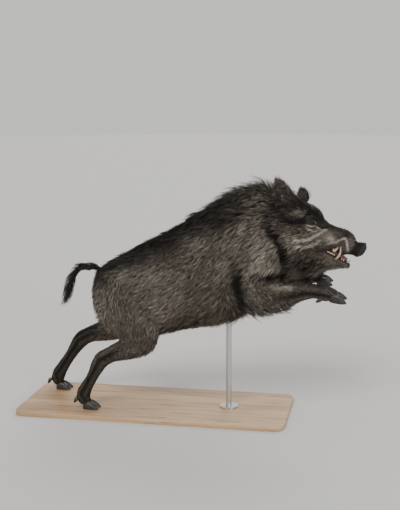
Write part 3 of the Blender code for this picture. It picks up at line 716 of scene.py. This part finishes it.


# Pale and dark spots of the coat on both sides, some of them the coat's own colour and some painted
# highlights
# and painted shade, as marked: strength, dark below 0; the frame it is placed in; its middle and sizes
# there; and where it is kept
SPOTS_AND_PAINTED_LIGHT = (
    (0.3, "poll", (0.29, 0.06, -0.01), (0.08, 0.04, 0.035), "all"),  # muzzle
    (0.25, "poll", (0.1, 0.11, 0), (0.04, 0.05, 0.025), "all"),  # temple: painted highlight on the brow ridge
    (0.2, "poll", (0.19, 0.1, -0.12), (0.08, 0.06, 0.05), "all"),  # cheek
    (0.3, "poll", (0.36, 0.04, -0.115), (0.07, 0.04, 0.03), "all"),  # chin
    (0.6, "body", (0.22, 0, 0.79), (0.075, 1, 0.11), "off the head"),  # shoulder: painted highlight
    (0.3, "body", (0.175, 0, 0.71), (0.06, 1, 0.06), "off the head"),  # under the shoulder: painted highlight
    (0.6, "eye", (-0.091, 0.01, 0), (0.044, 0.06, 0.024), "head"),  # behind the eye
    (0.55, "eye", (0.055, -0.02, -0.059), (0.035, 0.06, 0.03), "head"),  # between the cheek's folds
    (0.75, "eye", (0.117, -0.03, -0.028), (0.048, 0.06, 0.026), "head"),  # side of the muzzle
    (-0.8, "poll", (0.06, 0.11, -0.04), (0.05, 0.06, 0.03), "head"),  # back of the temple
    (-1.2, "eye", (0.0, 0, 0.012), (0.04, 0.06, 0.028), "head"),  # round the eye: painted shadow in the socket
    (-0.8, "eye", (-0.045, 0.01, -0.085), (0.042, 0.08, 0.026), "head"),  # hollow of the cheek: painted shade
    (-0.6, "eye", (-0.1, 0.02, 0.036), (0.05, 0.08, 0.018), "head"),  # under the ear: painted shade
    (-0.5, "poll", (0.25, 0.08, -0.165), (0.1, 0.08, 0.035), "head"),  # side of the jaw
    (-0.8, "body", (0.29, 0, 1.02), (0.12, 1, 0.16), "neck"),  # neck
    (-0.65, "body", (0.42, 0, 0.735), (0.09, 1, 0.085), "all"),  # throat: painted shade
    (-0.45, "body", (0.07, 0, 0.6), (0.06, 1, 0.14), "trunk"),  # behind the elbow: painted shade
)


def wander(points, scale, seed):
    """Slow random swells between about -1 and 1."""
    turns = np.random.default_rng(seed)
    total = np.zeros(len(points))
    for octave in range(4):
        for _ in range(3):
            way = turns.normal(size=3)
            total += np.sin(points @ way * (1.7**octave) / scale + turns.uniform(0, 6.3)) / (1.4**octave)
    return total / 3.6


def markings_and_painted_light(points, normals, share, length):
    """How pale and how dark the hair is, from places on the body: the coat's markings, with painted
    highlights and painted shade laid on.
    """
    local, own, turned = folded(to_head(points)), to_animal(points), normals @ HEAD_TURN
    head = share["skull"] + share["jaw"]
    ears = share["ear_left"] + share["ear_right"]
    legs = sum(share[name] for name in share if "leg" in name)
    frames = {"poll": local, "eye": local - EYE, "body": own * (1, 0, 1)}
    kept = {"all": 1.0, "head": head, "off the head": 1 - head, "trunk": share["trunk"]}
    kept["neck"] = 1 - 0.4 * head - ears
    pale, dark = np.zeros(len(points)), np.zeros(len(points))
    # The table holds the coat's own spots together with painted highlights and painted shade
    for strength, origin, middle, sizes, where in SPOTS_AND_PAINTED_LIGHT:
        spot = strength * blob(frames[origin], middle, sizes) * kept[where]
        pale += np.maximum(spot, 0)
        dark += np.maximum(-spot, 0)
    rear = rise(-0.1, -0.45, own[:, 0])
    pale += (0.08 + 0.07 * rear) * (share["trunk"] + legs * rise(0.02, 0.04, length))
    pale += 0.45 * share["jaw"] * rise(-0.3, -0.8, turned[:, 2])
    flat = local[:, (0, 2)] - EYE[[0, 2]]
    side = rise(0.015, 0.03, local[:, 1]) * rise(0.05, 0.12, local[:, 0])
    # Folds: painted highlights in pale hair along them, painted shade in dark hair, and painted shade in a
    # band beside each highlight
    for path, _, width, painted_light in FOLDS:
        line = line_share(flat, path, 0.75 * width) * side * (1.15 + 0.25 * wander(points, 0.006, 9))
        beside = line_share(flat, path, 1.7 * width) * side - line
        pale += max(painted_light, 0) * line
        dark += max(-painted_light, 0) * line + 0.6 * max(painted_light, 0) * beside
    # Body and leg lines: painted highlights in pale hair, painted shade in dark hair
    for line, _, painted_light in body_lines(own, normals):
        pale += max(painted_light, 0) * line
        dark -= painted_light * line
    ridge = rise(0.165, 0.07, np.abs(own[:, 1]) + 0.015 * wander(points, 0.03, 8))
    ridge *= rise(0.15, 0.55, normals[:, 2]) * (1 - head - ears)
    low = rise(0.04, 0.016, length) * legs
    dark += 0.9 * ridge + 0.2 * legs * (1 - low) + 0.6 * low + 0.8 * share["tail"] + 0.6 * ears
    forehead = rise(0.5, 0.9, turned[:, 2]) * rise(0.02, 0.08, local[:, 0])
    # Painted shade on the belly, darker where the trunk faces down
    shaded_belly = rise(-0.25, -0.85, normals[:, 2])
    round_snout = rise(0.402, 0.425, local[:, 0])
    dark += 0.8 * head * forehead + 0.4 * share["trunk"] * shaded_belly + 0.95 * share["skull"] * round_snout
    return np.clip(pale, 0, 1), np.clip(dark, 0, 1)


def put_values(mesh, **named):
    """Each named row of values as an attribute of the mesh's points."""
    for name, values in named.items():
        mesh.attributes.new(name, "FLOAT", "POINT").data.foreach_set("value", np.asarray(values, np.float32))


def shown(obj, slot, material, *nodes):
    """Gives a finished piece its material, hides the nodes it stands for and fixes it to the root. The slot
    is not used.
    """
    obj.data.materials.clear()
    obj.data.materials.append(material)
    obj.data.shade_smooth()
    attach(obj, "root")
    if nodes:
        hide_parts(*nodes)


BARE_DARK, BARE_PALE = (0.009, 0.007, 0.007), (0.027, 0.021, 0.019)  # snout, lids and lips
MOUTH_DARK, MOUTH_PALE = (0.022, 0.009, 0.008), (0.062, 0.025, 0.022)
skin_material, tree, shader = new_material("skin", Specular_IOR_Level=0.25)
mottle = ramped(tree, grained(tree, 260), 0.35, 0.75)
bare_shade = mixed(tree, mottle, BARE_DARK, BARE_PALE)
mouth_shade = mixed(tree, mottle, MOUTH_DARK, MOUTH_PALE)
hide_shade = mixed(tree, attribute(tree, "bare"), hair_shade(tree, 0.45), bare_shade)
hide_shade = mixed(tree, attribute(tree, "mouth"), hide_shade, mouth_shade)
feed(tree, hide_shade, shader.inputs["Base Color"])
feed(tree, ramped(tree, attribute(tree, "bare"), 0, 1, 0.85, 0.55), shader.inputs["Roughness"])
bumped(tree, shader, grained(tree, 700), 0.001, 0.8)

# Bare skin is the snout, the lids and the mouth's inside, which opens between the lips.
points, normals = read_points(skin.data)
_, facts, share = lie_of(points)
local, turned = to_head(points), normals @ HEAD_TURN
along, across, up = local.T
in_head = share["skull"] + share["jaw"] > 0.7
pale, dark = markings_and_painted_light(points, normals, share, facts[:, 1])
snout = rise(0.448, 0.454, along) * rise(-0.066, -0.05, up) * in_head
gape = rise(0.285, 0.31, along) * rise(0.05, 0.036, np.abs(across)) * in_head
over = up - mouth_line(along)
roof = rise(-0.35, -0.75, turned[:, 2]) * rise(0.04, 0.025, over) * (over > 0)
bed = rise(0.35, 0.75, turned[:, 2]) * rise(0.025, 0.012, -over) * (over < 0.004)
mouth = gape * np.maximum(roof, bed) * (rise(0.425, 0.412, along) + (over < 0))
mouth = np.clip(mouth, 0, 1)
bare = np.maximum(np.maximum(snout, mouth), hidden)
skin_tone = np.clip(0.45 + 0.3 * wander(points, 0.03, 3), 0, 1)
put_values(skin.data, pale=pale, dark=dark, bare=bare, mouth=mouth, tone=skin_tone)
shown(skin, "coat", skin_material, *FLESH)


# Coat: closed three-sided tufts that rise from the skin, bend over and lie along the body, drawn together in
# locks. They are strewn over the skin at random places and made as joined meshes, one or more for each part.
COVER = (1.5, 2.9)  # layers of tuft over each place, where the coat is short and where it is long
ROOT_DEPTH = 0.002
PATCH = 0.003
rng = np.random.default_rng(7)
coat_material, tree, shader = new_material("coat", Roughness=0.6, Specular_IOR_Level=0.22)
feed(tree, hair_shade(tree, attribute(tree, "along")), shader.inputs["Base Color"])


def unit(vectors):
    return vectors / np.maximum(np.linalg.norm(vectors, axis=1, keepdims=True), 1e-9)


def coat_facts(points, normals):
    """The way the coat lies at each point, its length, lift and width, with crest, fringes and beard."""
    ways, facts, share = lie_of(points)
    own, local = to_animal(points), to_head(points)
    length, lift, width = facts[:, 1].copy(), facts[:, 2].copy(), facts[:, 3].copy()
    head = share["skull"] + share["jaw"]
    fore = share["foreleg_left"] + share["foreleg_right"]
    up, down = rise(0.65, 0.95, normals[:, 2]), rise(-0.2, -0.8, normals[:, 2])
    crest = up * (share["trunk"] + share["skull"] * rise(0.13, 0.02, local[:, 0]))
    length *= 1 + 0.65 * crest * rise(-0.65, 0.1, own[:, 0])
    lift += 14 * crest
    forearm = fore * rise(0.42, 0.3, own[:, 0]) * down
    length *= 1 + 0.85 * forearm + 0.25 * share["trunk"] * down
    lift += 24 * forearm + 10 * share["trunk"] * down
    poll = up * share["skull"] * blob(local, (0.04, 0, 0.02), (0.07, 0.06, 0.07))
    length *= 1 + 0.65 * poll
    lift += 14 * poll
    beard = share["jaw"] * rise(-0.1, -0.7, normals[:, 2])
    length *= 1 + 0.6 * beard
    lift += 26 * beard
    ways = unit(ways)
    droop = 0.5 * share["trunk"] + 0.25 * share["skull"] + 0.8 * share["jaw"]
    droop += 0.75 * fore * (own[:, 0] < 0.45)
    ways[:, 2] -= droop * (1 - 0.9 * rise(0.3, 0.9, normals[:, 2]))
    near = np.minimum(*(np.linalg.norm(points - middle, axis=1) for middle in EYES.values()))
    small = 0.2 + 0.8 * rise(0.015, 0.05, near)
    length, width = length * small, width * (0.45 + 0.55 * small)
    for middle in EYES.values():
        apart = points - middle
        ways += unit(apart) * (1.6 * rise(0.04, 0.016, np.linalg.norm(apart, axis=1)))[:, None]
    ways -= normals * (ways * normals).sum(1)[:, None]
    return unit(ways), length, lift, width, share


def triangle_samples(mesh, spare, cover):
    """Places strewn so that tufts of the size wanted there cover a mesh evenly, and the normals there."""
    mesh.calc_loop_triangles()
    corners = np.empty(len(mesh.loop_triangles) * 3, np.int32)
    mesh.loop_triangles.foreach_get("vertices", corners)
    corners = corners.reshape(-1, 3)
    places, normals = read_points(mesh)
    a, b, c = (places[corners[:, i]] for i in range(3))
    areas = np.linalg.norm(np.cross(b - a, c - a), axis=1) / 2
    _, length, _, width, _ = coat_facts((a + b + c) / 3, unit(np.cross(b - a, c - a)))
    layers = cover[0] + (cover[1] - cover[0]) * rise(0.01, 0.04, length)
    density = layers / (0.5 * width * length) * spare[corners].min(axis=1)
    expected = np.cumsum(areas * density)
    count = int(expected[-1])
    steps = (np.arange(count) + rng.random(count)) * expected[-1] / count
    picks = np.searchsorted(expected, steps).clip(0, len(corners) - 1)
    r, s = rng.random((2, count, 1))
    r, s = np.where(r + s > 1, 1 - r, r), np.where(r + s > 1, 1 - s, s)
    n0, n1, n2 = (normals[corners[picks, i]] for i in range(3))
    roots = a[picks] + r * (b - a)[picks] + s * (c - a)[picks]
    return roots, unit(n0 + r * (n1 - n0) + s * (n2 - n0)), density[picks]


roots, root_normals, density = triangle_samples(skin.data, 1 - bare, COVER)
count = len(roots)
ways, length, lift, width, share = coat_facts(roots, root_normals)
pale, dark = markings_and_painted_light(roots + ways * (0.6 * length)[:, None], root_normals, share, length)

# Locks: each tuft leans to the middle of its lock, and the lock has its own way, length and tone.
lock_size = 0.0028 + 0.1 * length
lock_ids = np.flatnonzero(rng.random(count) < 1 / (1 + lock_size**2 * density))
finder = KDTree(len(lock_ids))
for place, index in enumerate(lock_ids):
    finder.insert(roots[index], place)
finder.balance()
lock = np.array([finder.find(root)[1] for root in roots])
locks = len(lock_ids)
turn = rng.normal(0, 0.17, locks)[lock] + rng.normal(0, 0.08, count) + 0.16 * wander(roots, 0.04, 11)
stretch = np.exp(rng.normal(0, 0.15, locks)[lock] + rng.normal(0, 0.1, count))
spring = np.exp(np.minimum(rng.normal(0, 0.26, locks)[lock] + rng.normal(0, 0.16, count), 0.45))
curl = rng.normal(0, 0.09, locks)[lock]
tone = 0.44 * rng.random(locks)[lock] + 0.36 * rng.random(count) + 0.18 + 0.2 * wander(roots, 0.05, 5)
tone = np.clip(tone, 0, 1)
sides = np.cross(root_normals, ways)
ways = unit(ways * np.cos(turn)[:, None] + sides * np.sin(turn)[:, None])
sides = np.cross(root_normals, ways)
length = length * stretch
lift = np.radians(lift) * spring


def curve(s, which):
    """Places at s, 0 at the root and 1 at the tip, along the tufts named by which."""
    high = length[which] * np.sin(np.minimum(lift[which], 1.2)) * (1.5 * s - 0.9 * s * s)
    off = curl[which] * length[which] * s * s
    reach = length[which] * s
    places = roots[which] + ways[which] * reach[:, None]
    return places + root_normals[which] * high[:, None] + sides[which] * off[:, None]


clump = 0.15 + 0.38 * rise(0.01, 0.045, length)  # how far a tip is drawn to its lock's tip
RINGS = ((0.0, 0.5), (0.42, 0.44))  # how far along, and the half width there for a width of 1
ALONG = np.array([s for s, _ in RINGS for _ in range(3)] + [1.0])
TUFT_FACES = ((0, 3, 4, 1), (1, 4, 5, 2), (2, 5, 3, 0), (3, 6, 4), (4, 6, 5), (5, 6, 3), (0, 1, 2))
CORNERS = [2 * math.pi * (k + 0.25) / 3 for k in range(3)]  # angles round a ring
every, lead = np.arange(count), lock_ids[lock]
tuft_points = []
for s, half in RINGS:
    middle = curve(s, every)
    middle += (curve(s, lead) - middle) * (clump * s)[:, None] - root_normals * (ROOT_DEPTH * (s == 0))
    for angle in CORNERS:
        across, out = math.cos(angle) * half, math.sin(angle) * half * 0.6
        tuft_points.append(middle + (sides * across + root_normals * out) * width[:, None])
tip = curve(1.0, every)
tuft_points.append(tip + (curve(1.0, lead) - tip) * clump[:, None])
tuft_points = np.stack(tuft_points, axis=1)


def unrolled(table, places):
    """How far along its chain each place is, and the angle round it: an unwrap of the skin's own shape."""
    best, along, angle = np.full(len(places), 1e9), np.zeros(len(places)), np.zeros(len(places))
    lengths = np.linalg.norm(np.diff(table[:, :3], axis=0), axis=1)
    before = np.concatenate([[0], np.cumsum(lengths)])
    for i, (start, stop) in enumerate(zip(table, table[1:])):
        line = (stop[:3] - start[:3]) / lengths[i]
        t = (places - start[:3]) @ line
        t = np.clip(t, -9 * (i == 0), lengths[i] + 9 * (i == len(lengths) - 1))
        off = places - start[:3] - t[:, None] * line
        side = np.cross(line, (0, 0, 1) if abs(line[2]) < 0.8 else (1, 0, 0))
        side /= np.linalg.norm(side)
        apart = np.linalg.norm(off, axis=1)
        nearer = apart < best
        best = np.where(nearer, apart, best)
        along = np.where(nearer, before[i] + t, along)
        angle = np.where(nearer, np.arctan2(off @ side, off @ np.cross(side, line)), angle)
    return np.stack([along, angle], axis=1)


def coat_piece(name, chain, chosen):
    """One piece of the coat. In its UV map each tuft is a patch at its root's place, with its tip ahead."""
    chosen = np.flatnonzero(chosen)
    place = unrolled(chains[chain], roots[chosen])
    low, high = place.min(0), place.max(0)
    place = PATCH + (place - low) / (high - low) * (1 - 2 * PATCH)
    per, sizes = len(ALONG), np.array([len(face) for face in TUFT_FACES])
    order = np.concatenate(TUFT_FACES)
    verts = tuft_points[chosen].reshape(-1, 3)
    loops = (order + per * np.arange(len(chosen))[:, None]).ravel()
    totals = np.tile(sizes, len(chosen))
    mesh = bpy.data.meshes.new(name)
    mesh.vertices.add(len(verts))
    mesh.loops.add(len(loops))
    mesh.polygons.add(len(totals))
    mesh.loops.foreach_set("vertex_index", loops.astype(np.int32))
    mesh.polygons.foreach_set("loop_start", np.concatenate([[0], np.cumsum(totals)[:-1]]).astype(np.int32))
    put_points(mesh, verts)
    mesh.update(calc_edges=True)
    across = np.array([math.cos(angle) for angle in CORNERS] * len(RINGS) + [0.0])
    offsets = np.stack([ALONG - 0.5, 0.5 * across], axis=1) * PATCH
    uv = mesh.uv_layers.new(name="OFBake")
    uv.data.foreach_set("uv", (place[:, None] + offsets[order]).astype(np.float32).ravel())
    put_values(mesh, along=np.tile(ALONG, len(chosen)), tone=np.repeat(tone[chosen], per))
    put_values(mesh, pale=np.repeat(pale[chosen], per), dark=np.repeat(dark[chosen], per))
    shown(placed(name, mesh), "coat", coat_material)


names = list(chains)
home = np.argmax(np.stack([share[n] for n in names]), axis=0)
own, across = to_animal(roots), to_head(roots)[:, 1]
for index, chain in enumerate(names):
    mine = home == index
    if chain == "trunk":
        parts = {"fore": own[:, 0] > -0.2, "hind": own[:, 0] <= -0.2}
        halves = {"left": own[:, 1] > 0, "right": own[:, 1] <= 0}
        parts = {f"{a}_{b}": parts[a] & halves[b] for a in parts for b in halves}
    elif chain in ("skull", "jaw"):
        parts = {f"{chain}_left": across > 0, f"{chain}_right": across <= 0}
    elif "hindleg" in chain:
        parts = {f"{chain}_upper": length > 0.026, f"{chain}_lower": length <= 0.026}
    else:
        parts = {chain: mine}
    for label, inside in parts.items():
        coat_piece(f"coat_{label}", chain, mine & inside)


# Eyes: glass eyes with a swollen cornea, a brown streaked iris and a pupil wider than it is high. Each looks
# out along the middle of its lids, with a pale corner ahead.
IRIS = 0.0074  # radius
PUPIL = (0.004, 0.0029)  # half width and half height
CORNEA = 0.0009
eye_material, tree, shader = new_material(
    "eye", Roughness=0.12, Specular_IOR_Level=0.05, Coat_Weight=1.0, Coat_Roughness=0.02, Coat_IOR=1.42,
)
from_pupil = attribute(tree, "from_pupil")
iris = mixed(tree, grained(tree, 900, 2.0), (0.01, 0.006, 0.004), (0.034, 0.017, 0.009))
iris = graded(tree, from_pupil, 0.72, 1.0, iris, (0.008, 0.005, 0.004))
white = mixed(tree, attribute(tree, "corner"), (0.03, 0.02, 0.016), (0.64, 0.56, 0.51))
ball = graded(tree, from_pupil, 1.0, 1.15, iris, white)
ball = graded(tree, attribute(tree, "pupil"), 0.92, 1.04, (0.002, 0.002, 0.002), ball)
feed(tree, ball, shader.inputs["Base Color"])
for word, side in SIDES.items():
    out, ahead, up = eye_axes(side)
    bm = bmesh.new()
    bmesh.ops.create_uvsphere(bm, u_segments=48, v_segments=36, radius=EYE_RADIUS)
    glass = placed(f"glass_eye_{word}", mesh_of(bm, f"glass_eye_{word}"))
    ball_points, _ = read_points(glass.data)
    in_front = ball_points[:, 2] > 0
    away = np.hypot(ball_points[:, 0], ball_points[:, 1])
    cornea = in_front * rise(IRIS * 1.25, 0, away) * CORNEA
    ball_points *= (1 + cornea / EYE_RADIUS)[:, None]
    pupil = np.hypot(ball_points[:, 0] / PUPIL[0], ball_points[:, 1] / PUPIL[1])
    put_values(
        glass.data, from_pupil=np.where(in_front, away / IRIS, 2), pupil=np.where(in_front, pupil, 9),
        corner=rise(0.007, 0.0088, ball_points[:, 0]),
    )
    put_points(glass.data, EYES[side] + ball_points @ np.array((ahead, up, out)))
    shown(glass, "eye", eye_material, f"eye_{word}")


# Tusks and teeth: ivory, stained at the root, with fine growth lines across it. The tusks are rounded from
# their solids. The lower teeth are six chisels on an arch, with cheek teeth along the jaw behind them.
TUSK_FINENESS = 0.0009
GUMS = {"lower": -0.085, "upper": -0.03}  # height of each jaw's gum in the head's frame
ivory, tree, shader = new_material("ivory", Roughness=0.32)
stain = ramped(tree, grained(tree, 120, 4.0), 0.4, 0.7)
tooth_shade = mixed(tree, stain, (0.43, 0.36, 0.245), (0.58, 0.51, 0.385))
tooth_shade = mixed(tree, attribute(tree, "root"), tooth_shade, (0.23, 0.15, 0.08))
feed(tree, tooth_shade, shader.inputs["Base Color"])
bumped(tree, shader, grained(tree, 60, squeeze=(1.0, 1.0, 14.0)), 0.0004, 0.6)
for level, gum in GUMS.items():
    for word in SIDES:
        node_name = f"tusk_{level}_{word}"
        tusk = melted(f"ivory_{node_name}", [node_name], TUSK_FINENESS, smoothing=10)
        over_gum = to_head(read_points(tusk.data)[0])[:, 2] - gum
        stained = rise(0.02, 0.0, over_gum) if level == "lower" else rise(-0.012, 0.0, over_gum)
        put_values(tusk.data, root=0.7 * stained)
        shown(tusk, "ivory", ivory, node_name)

bm = bmesh.new()
root_values = []
TOOTH_SIDES = 10
# A tooth's rings: height, width and thickness, as shares of the tooth's own
TOOTH_RINGS = ((-0.35, 0.8, 0.9), (0.0, 0.95, 1.0), (0.45, 1.0, 0.8), (0.85, 0.92, 0.45), (1.0, 0.7, 0.2))


def tooth(place, way, width, thickness, height, lean=0.0):
    """A chisel of five rounded rings on the gum, leaning the way given."""
    across = np.array((-way[1], way[0], 0.0))
    rings = []
    for level, broad, thick in TOOTH_RINGS:
        centre = place + np.array((0, 0, 1.0)) * height * level + way * lean * max(level, 0) ** 1.5
        ring = []
        for k in range(TOOTH_SIDES):
            a = 2 * math.pi * k / TOOTH_SIDES
            off = across * math.cos(a) * width / 2 * broad + way * math.sin(a) * thickness / 2 * thick
            ring.append(bm.verts.new(from_head(centre + off)))
            root_values.append(0.8 * max(0.0, 0.35 - level))
        rings.append(ring)
    for low, high in zip(rings, rings[1:]):
        for k in range(TOOTH_SIDES):
            after = (k + 1) % TOOTH_SIDES
            bm.faces.new((low[k], low[after], high[after], high[k]))
    bm.faces.new(rings[0][::-1])
    bm.faces.new(rings[-1])


# Six incisors on their arch, and on each side six cheek teeth, placed in the head's frame
for k in range(6):
    angle = math.radians(-62.5 + 25 * k)
    way = np.array((math.cos(angle), math.sin(angle), 0.0))
    place = np.array((0.425 + 0.01 * math.cos(angle), 0.015 * math.sin(angle), -0.073))
    tooth(place, way, 0.0062, 0.005, 0.0125, 0.0045)
for side in (-1, 1):
    for k in range(4):
        place = np.array((0.355 - 0.0112 * k, side * (0.0275 + 0.0022 * k), -0.0735 - 0.001 * k))
        tooth(place, np.array((0.0, float(side), 0.0)), 0.0108, 0.0042, 0.0048)
    for k in range(2):
        place = np.array((0.398 + 0.011 * k, side * (0.0285 - 0.005 * k), -0.0715 - 0.0005 * k))
        tooth(place, np.array((0.3, 0.95 * side, 0.0)), 0.0064, 0.004, 0.007, 0.001)
bmesh.ops.recalc_face_normals(bm, faces=bm.faces)
teeth = placed("lower_teeth", mesh_of(bm, "lower_teeth"))
put_values(teeth.data, root=root_values)
shown(teeth, "ivory", ivory, "incisors")


# Tongue: soft and wet, with a groove down its middle and fine bumps. It is rounded from its solid, and lies
# in the lower jaw.
TONGUE_FINENESS, GROOVE_WIDTH, GROOVE_DEPTH = 0.0012, 0.003, 0.0022
tongue_material, tree, shader = new_material("tongue", Roughness=0.3)
tongue_shade = graded(tree, grained(tree, 90), 0.35, 0.7, (0.11, 0.042, 0.04), (0.19, 0.082, 0.075))
feed(tree, tongue_shade, shader.inputs["Base Color"])
bumped(tree, shader, grained(tree, 1400, 2.0), 0.0006, 0.5)
wet_tongue = melted("wet_tongue", ["tongue"], TONGUE_FINENESS, smoothing=6)
points, normals = read_points(wet_tongue.data)
groove = np.exp(-((to_head(points)[:, 1] / GROOVE_WIDTH) ** 2))
groove *= rise(0.2, 0.8, (normals @ HEAD_TURN)[:, 2])
put_points(wet_tongue.data, points - normals * (GROOVE_DEPTH * groove)[:, None])
shown(wet_tongue, "tongue", tongue_material, "tongue")


# Hooves and dewclaws: dark horn, rounded from their solids. Growth lines run round them, and their lower
# edge is worn and paler.
HOOF_FINENESS = 0.0018
horn, tree, shader = new_material("horn")
growth = grained(tree, 24, squeeze=(1.0, 1.0, 16.0))
blotch = ramped(tree, grained(tree, 45), 0.35, 0.75)
horn_shade = mixed(tree, blotch, (0.01, 0.009, 0.008), (0.026, 0.022, 0.018))
horn_shade = graded(tree, growth, 0.5, 0.75, horn_shade, (0.042, 0.035, 0.029))
horn_shade = mixed(tree, attribute(tree, "worn"), horn_shade, (0.11, 0.094, 0.074))
feed(tree, horn_shade, shader.inputs["Base Color"])
feed(tree, ramped(tree, blotch, 0, 1, 0.36, 0.55), shader.inputs["Roughness"])
bumped(tree, shader, growth, 0.0012, 0.7)
for foot in ("forefoot_left", "forefoot_right", "hindfoot_left", "hindfoot_right"):
    for kind in ("hoof", "dewclaw"):
        for place in ("outer", "inner"):
            node_name = f"{foot}_{kind}_{place}"
            claw = melted(f"horn_{node_name}", [node_name], HOOF_FINENESS, smoothing=5)
            points, _ = read_points(claw.data)
            height = points[:, 2] - points[:, 2].min() + 0.002 * wander(points, 0.01, 7)
            put_values(claw.data, worn=rise(0.006, 0.001, height) * 0.7)
            shown(claw, "hoof", horn, node_name)


# Stand: an oiled oak board with eased edges, a satin steel rod up into the chest, and the rod's round foot.
# They are the solids themselves, each with its own finish.
oak, tree, shader = new_material("oak")
rings = grained(tree, 3.2, 4.0, 0.6, squeeze=(0.35, 3.4, 6.0))
pores = grained(tree, 60, 2.0, 0.6, squeeze=(0.06, 1.0, 1.0))
oak_shade = graded(tree, rings, 0.3, 0.72, (0.33, 0.2, 0.105), (0.52, 0.35, 0.2))
oak_shade = graded(tree, pores, 0.58, 0.72, oak_shade, (0.24, 0.14, 0.07))
feed(tree, oak_shade, shader.inputs["Base Color"])
feed(tree, ramped(tree, pores, 0.4, 0.8, 0.38, 0.6), shader.inputs["Roughness"])
bumped(tree, shader, pores, 0.0006, 0.35)
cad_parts["stand_base"].material_slots[0].material = oak

steel, tree, shader = new_material("satin_steel", Metallic=1.0)
brushing = grained(tree, 220, 3.0, 0.6, squeeze=(6.0, 6.0, 0.15))
steel_shade = mixed(tree, brushing, (0.5, 0.5, 0.5), (0.64, 0.64, 0.63))
feed(tree, steel_shade, shader.inputs["Base Color"])
feed(tree, ramped(tree, brushing, 0.2, 0.8, 0.26, 0.42), shader.inputs["Roughness"])
bumped(tree, shader, brushing, 0.0002, 0.2)
for node_name in ("stand_rod", "stand_foot"):
    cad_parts[node_name].material_slots[0].material = steel


# Studio: a plain pale floor, one large soft key from above, a weaker fill, a rim from behind and an even
# surround. The camera stands a little ahead of the right side and above it.
FLOOR_RADIUS, FLOOR_GAP = 30.0, 0.0005
TARGET = ANIMAL + Vector((0.0, 0, 0.758))
LIGHT_DISTANCE, CAMERA_DISTANCE = 4.0, 5.0
CAMERA_AZIMUTH, CAMERA_ELEVATION = 10, 10
floor_material, tree, shader = new_material("floor", Roughness=0.85)
floor_shade = mixed(tree, grained(tree, 2.0, 2.0), (0.541, 0.533, 0.517), (0.568, 0.56, 0.543))
feed(tree, floor_shade, shader.inputs["Base Color"])
bm = bmesh.new()
bmesh.ops.create_circle(bm, cap_ends=True, segments=96, radius=FLOOR_RADIUS)
floor = placed("floor", mesh_of(bm, "floor"))
floor.data.materials.append(floor_material)
floor.location.z = cad_low[2] - FLOOR_GAP


def aimed(name, data, azimuth, elevation, distance):
    """A lamp or camera that looks at the model: azimuth 0 is its right side, 90 its front."""
    a, e = math.radians(azimuth), math.radians(elevation)
    way = Vector((math.sin(a) * math.cos(e), -math.cos(a) * math.cos(e), math.sin(e)))
    made = placed(name, data)
    made.location = TARGET + way * distance
    made.rotation_euler = way.to_track_quat("Z", "Y").to_euler()
    return made


for name, azimuth, elevation, strength, spread in (
    ("key", -12, 45, 1.9, 26), ("fill", 44, 13, 0.9, 14), ("rim", 170, 40, 0.9, 30),
):
    lamp = bpy.data.lights.new(name, "SUN")
    lamp.energy = strength
    lamp.angle = math.radians(spread)
    aimed(name, lamp, azimuth, elevation, LIGHT_DISTANCE)
world = bpy.data.worlds.new("surround")
world.use_nodes = True
world.node_tree.nodes["Background"].inputs["Color"].default_value = (0.8, 0.79, 0.77, 1.0)
world.node_tree.nodes["Background"].inputs["Strength"].default_value = 0.96
bpy.context.scene.world = world

lens = bpy.data.cameras.new("camera")
camera = aimed("camera", lens, CAMERA_AZIMUTH, CAMERA_ELEVATION, CAMERA_DISTANCE)
camera.data.lens = 67.5
camera.data.shift_x = -0.044
bpy.context.scene.camera = camera
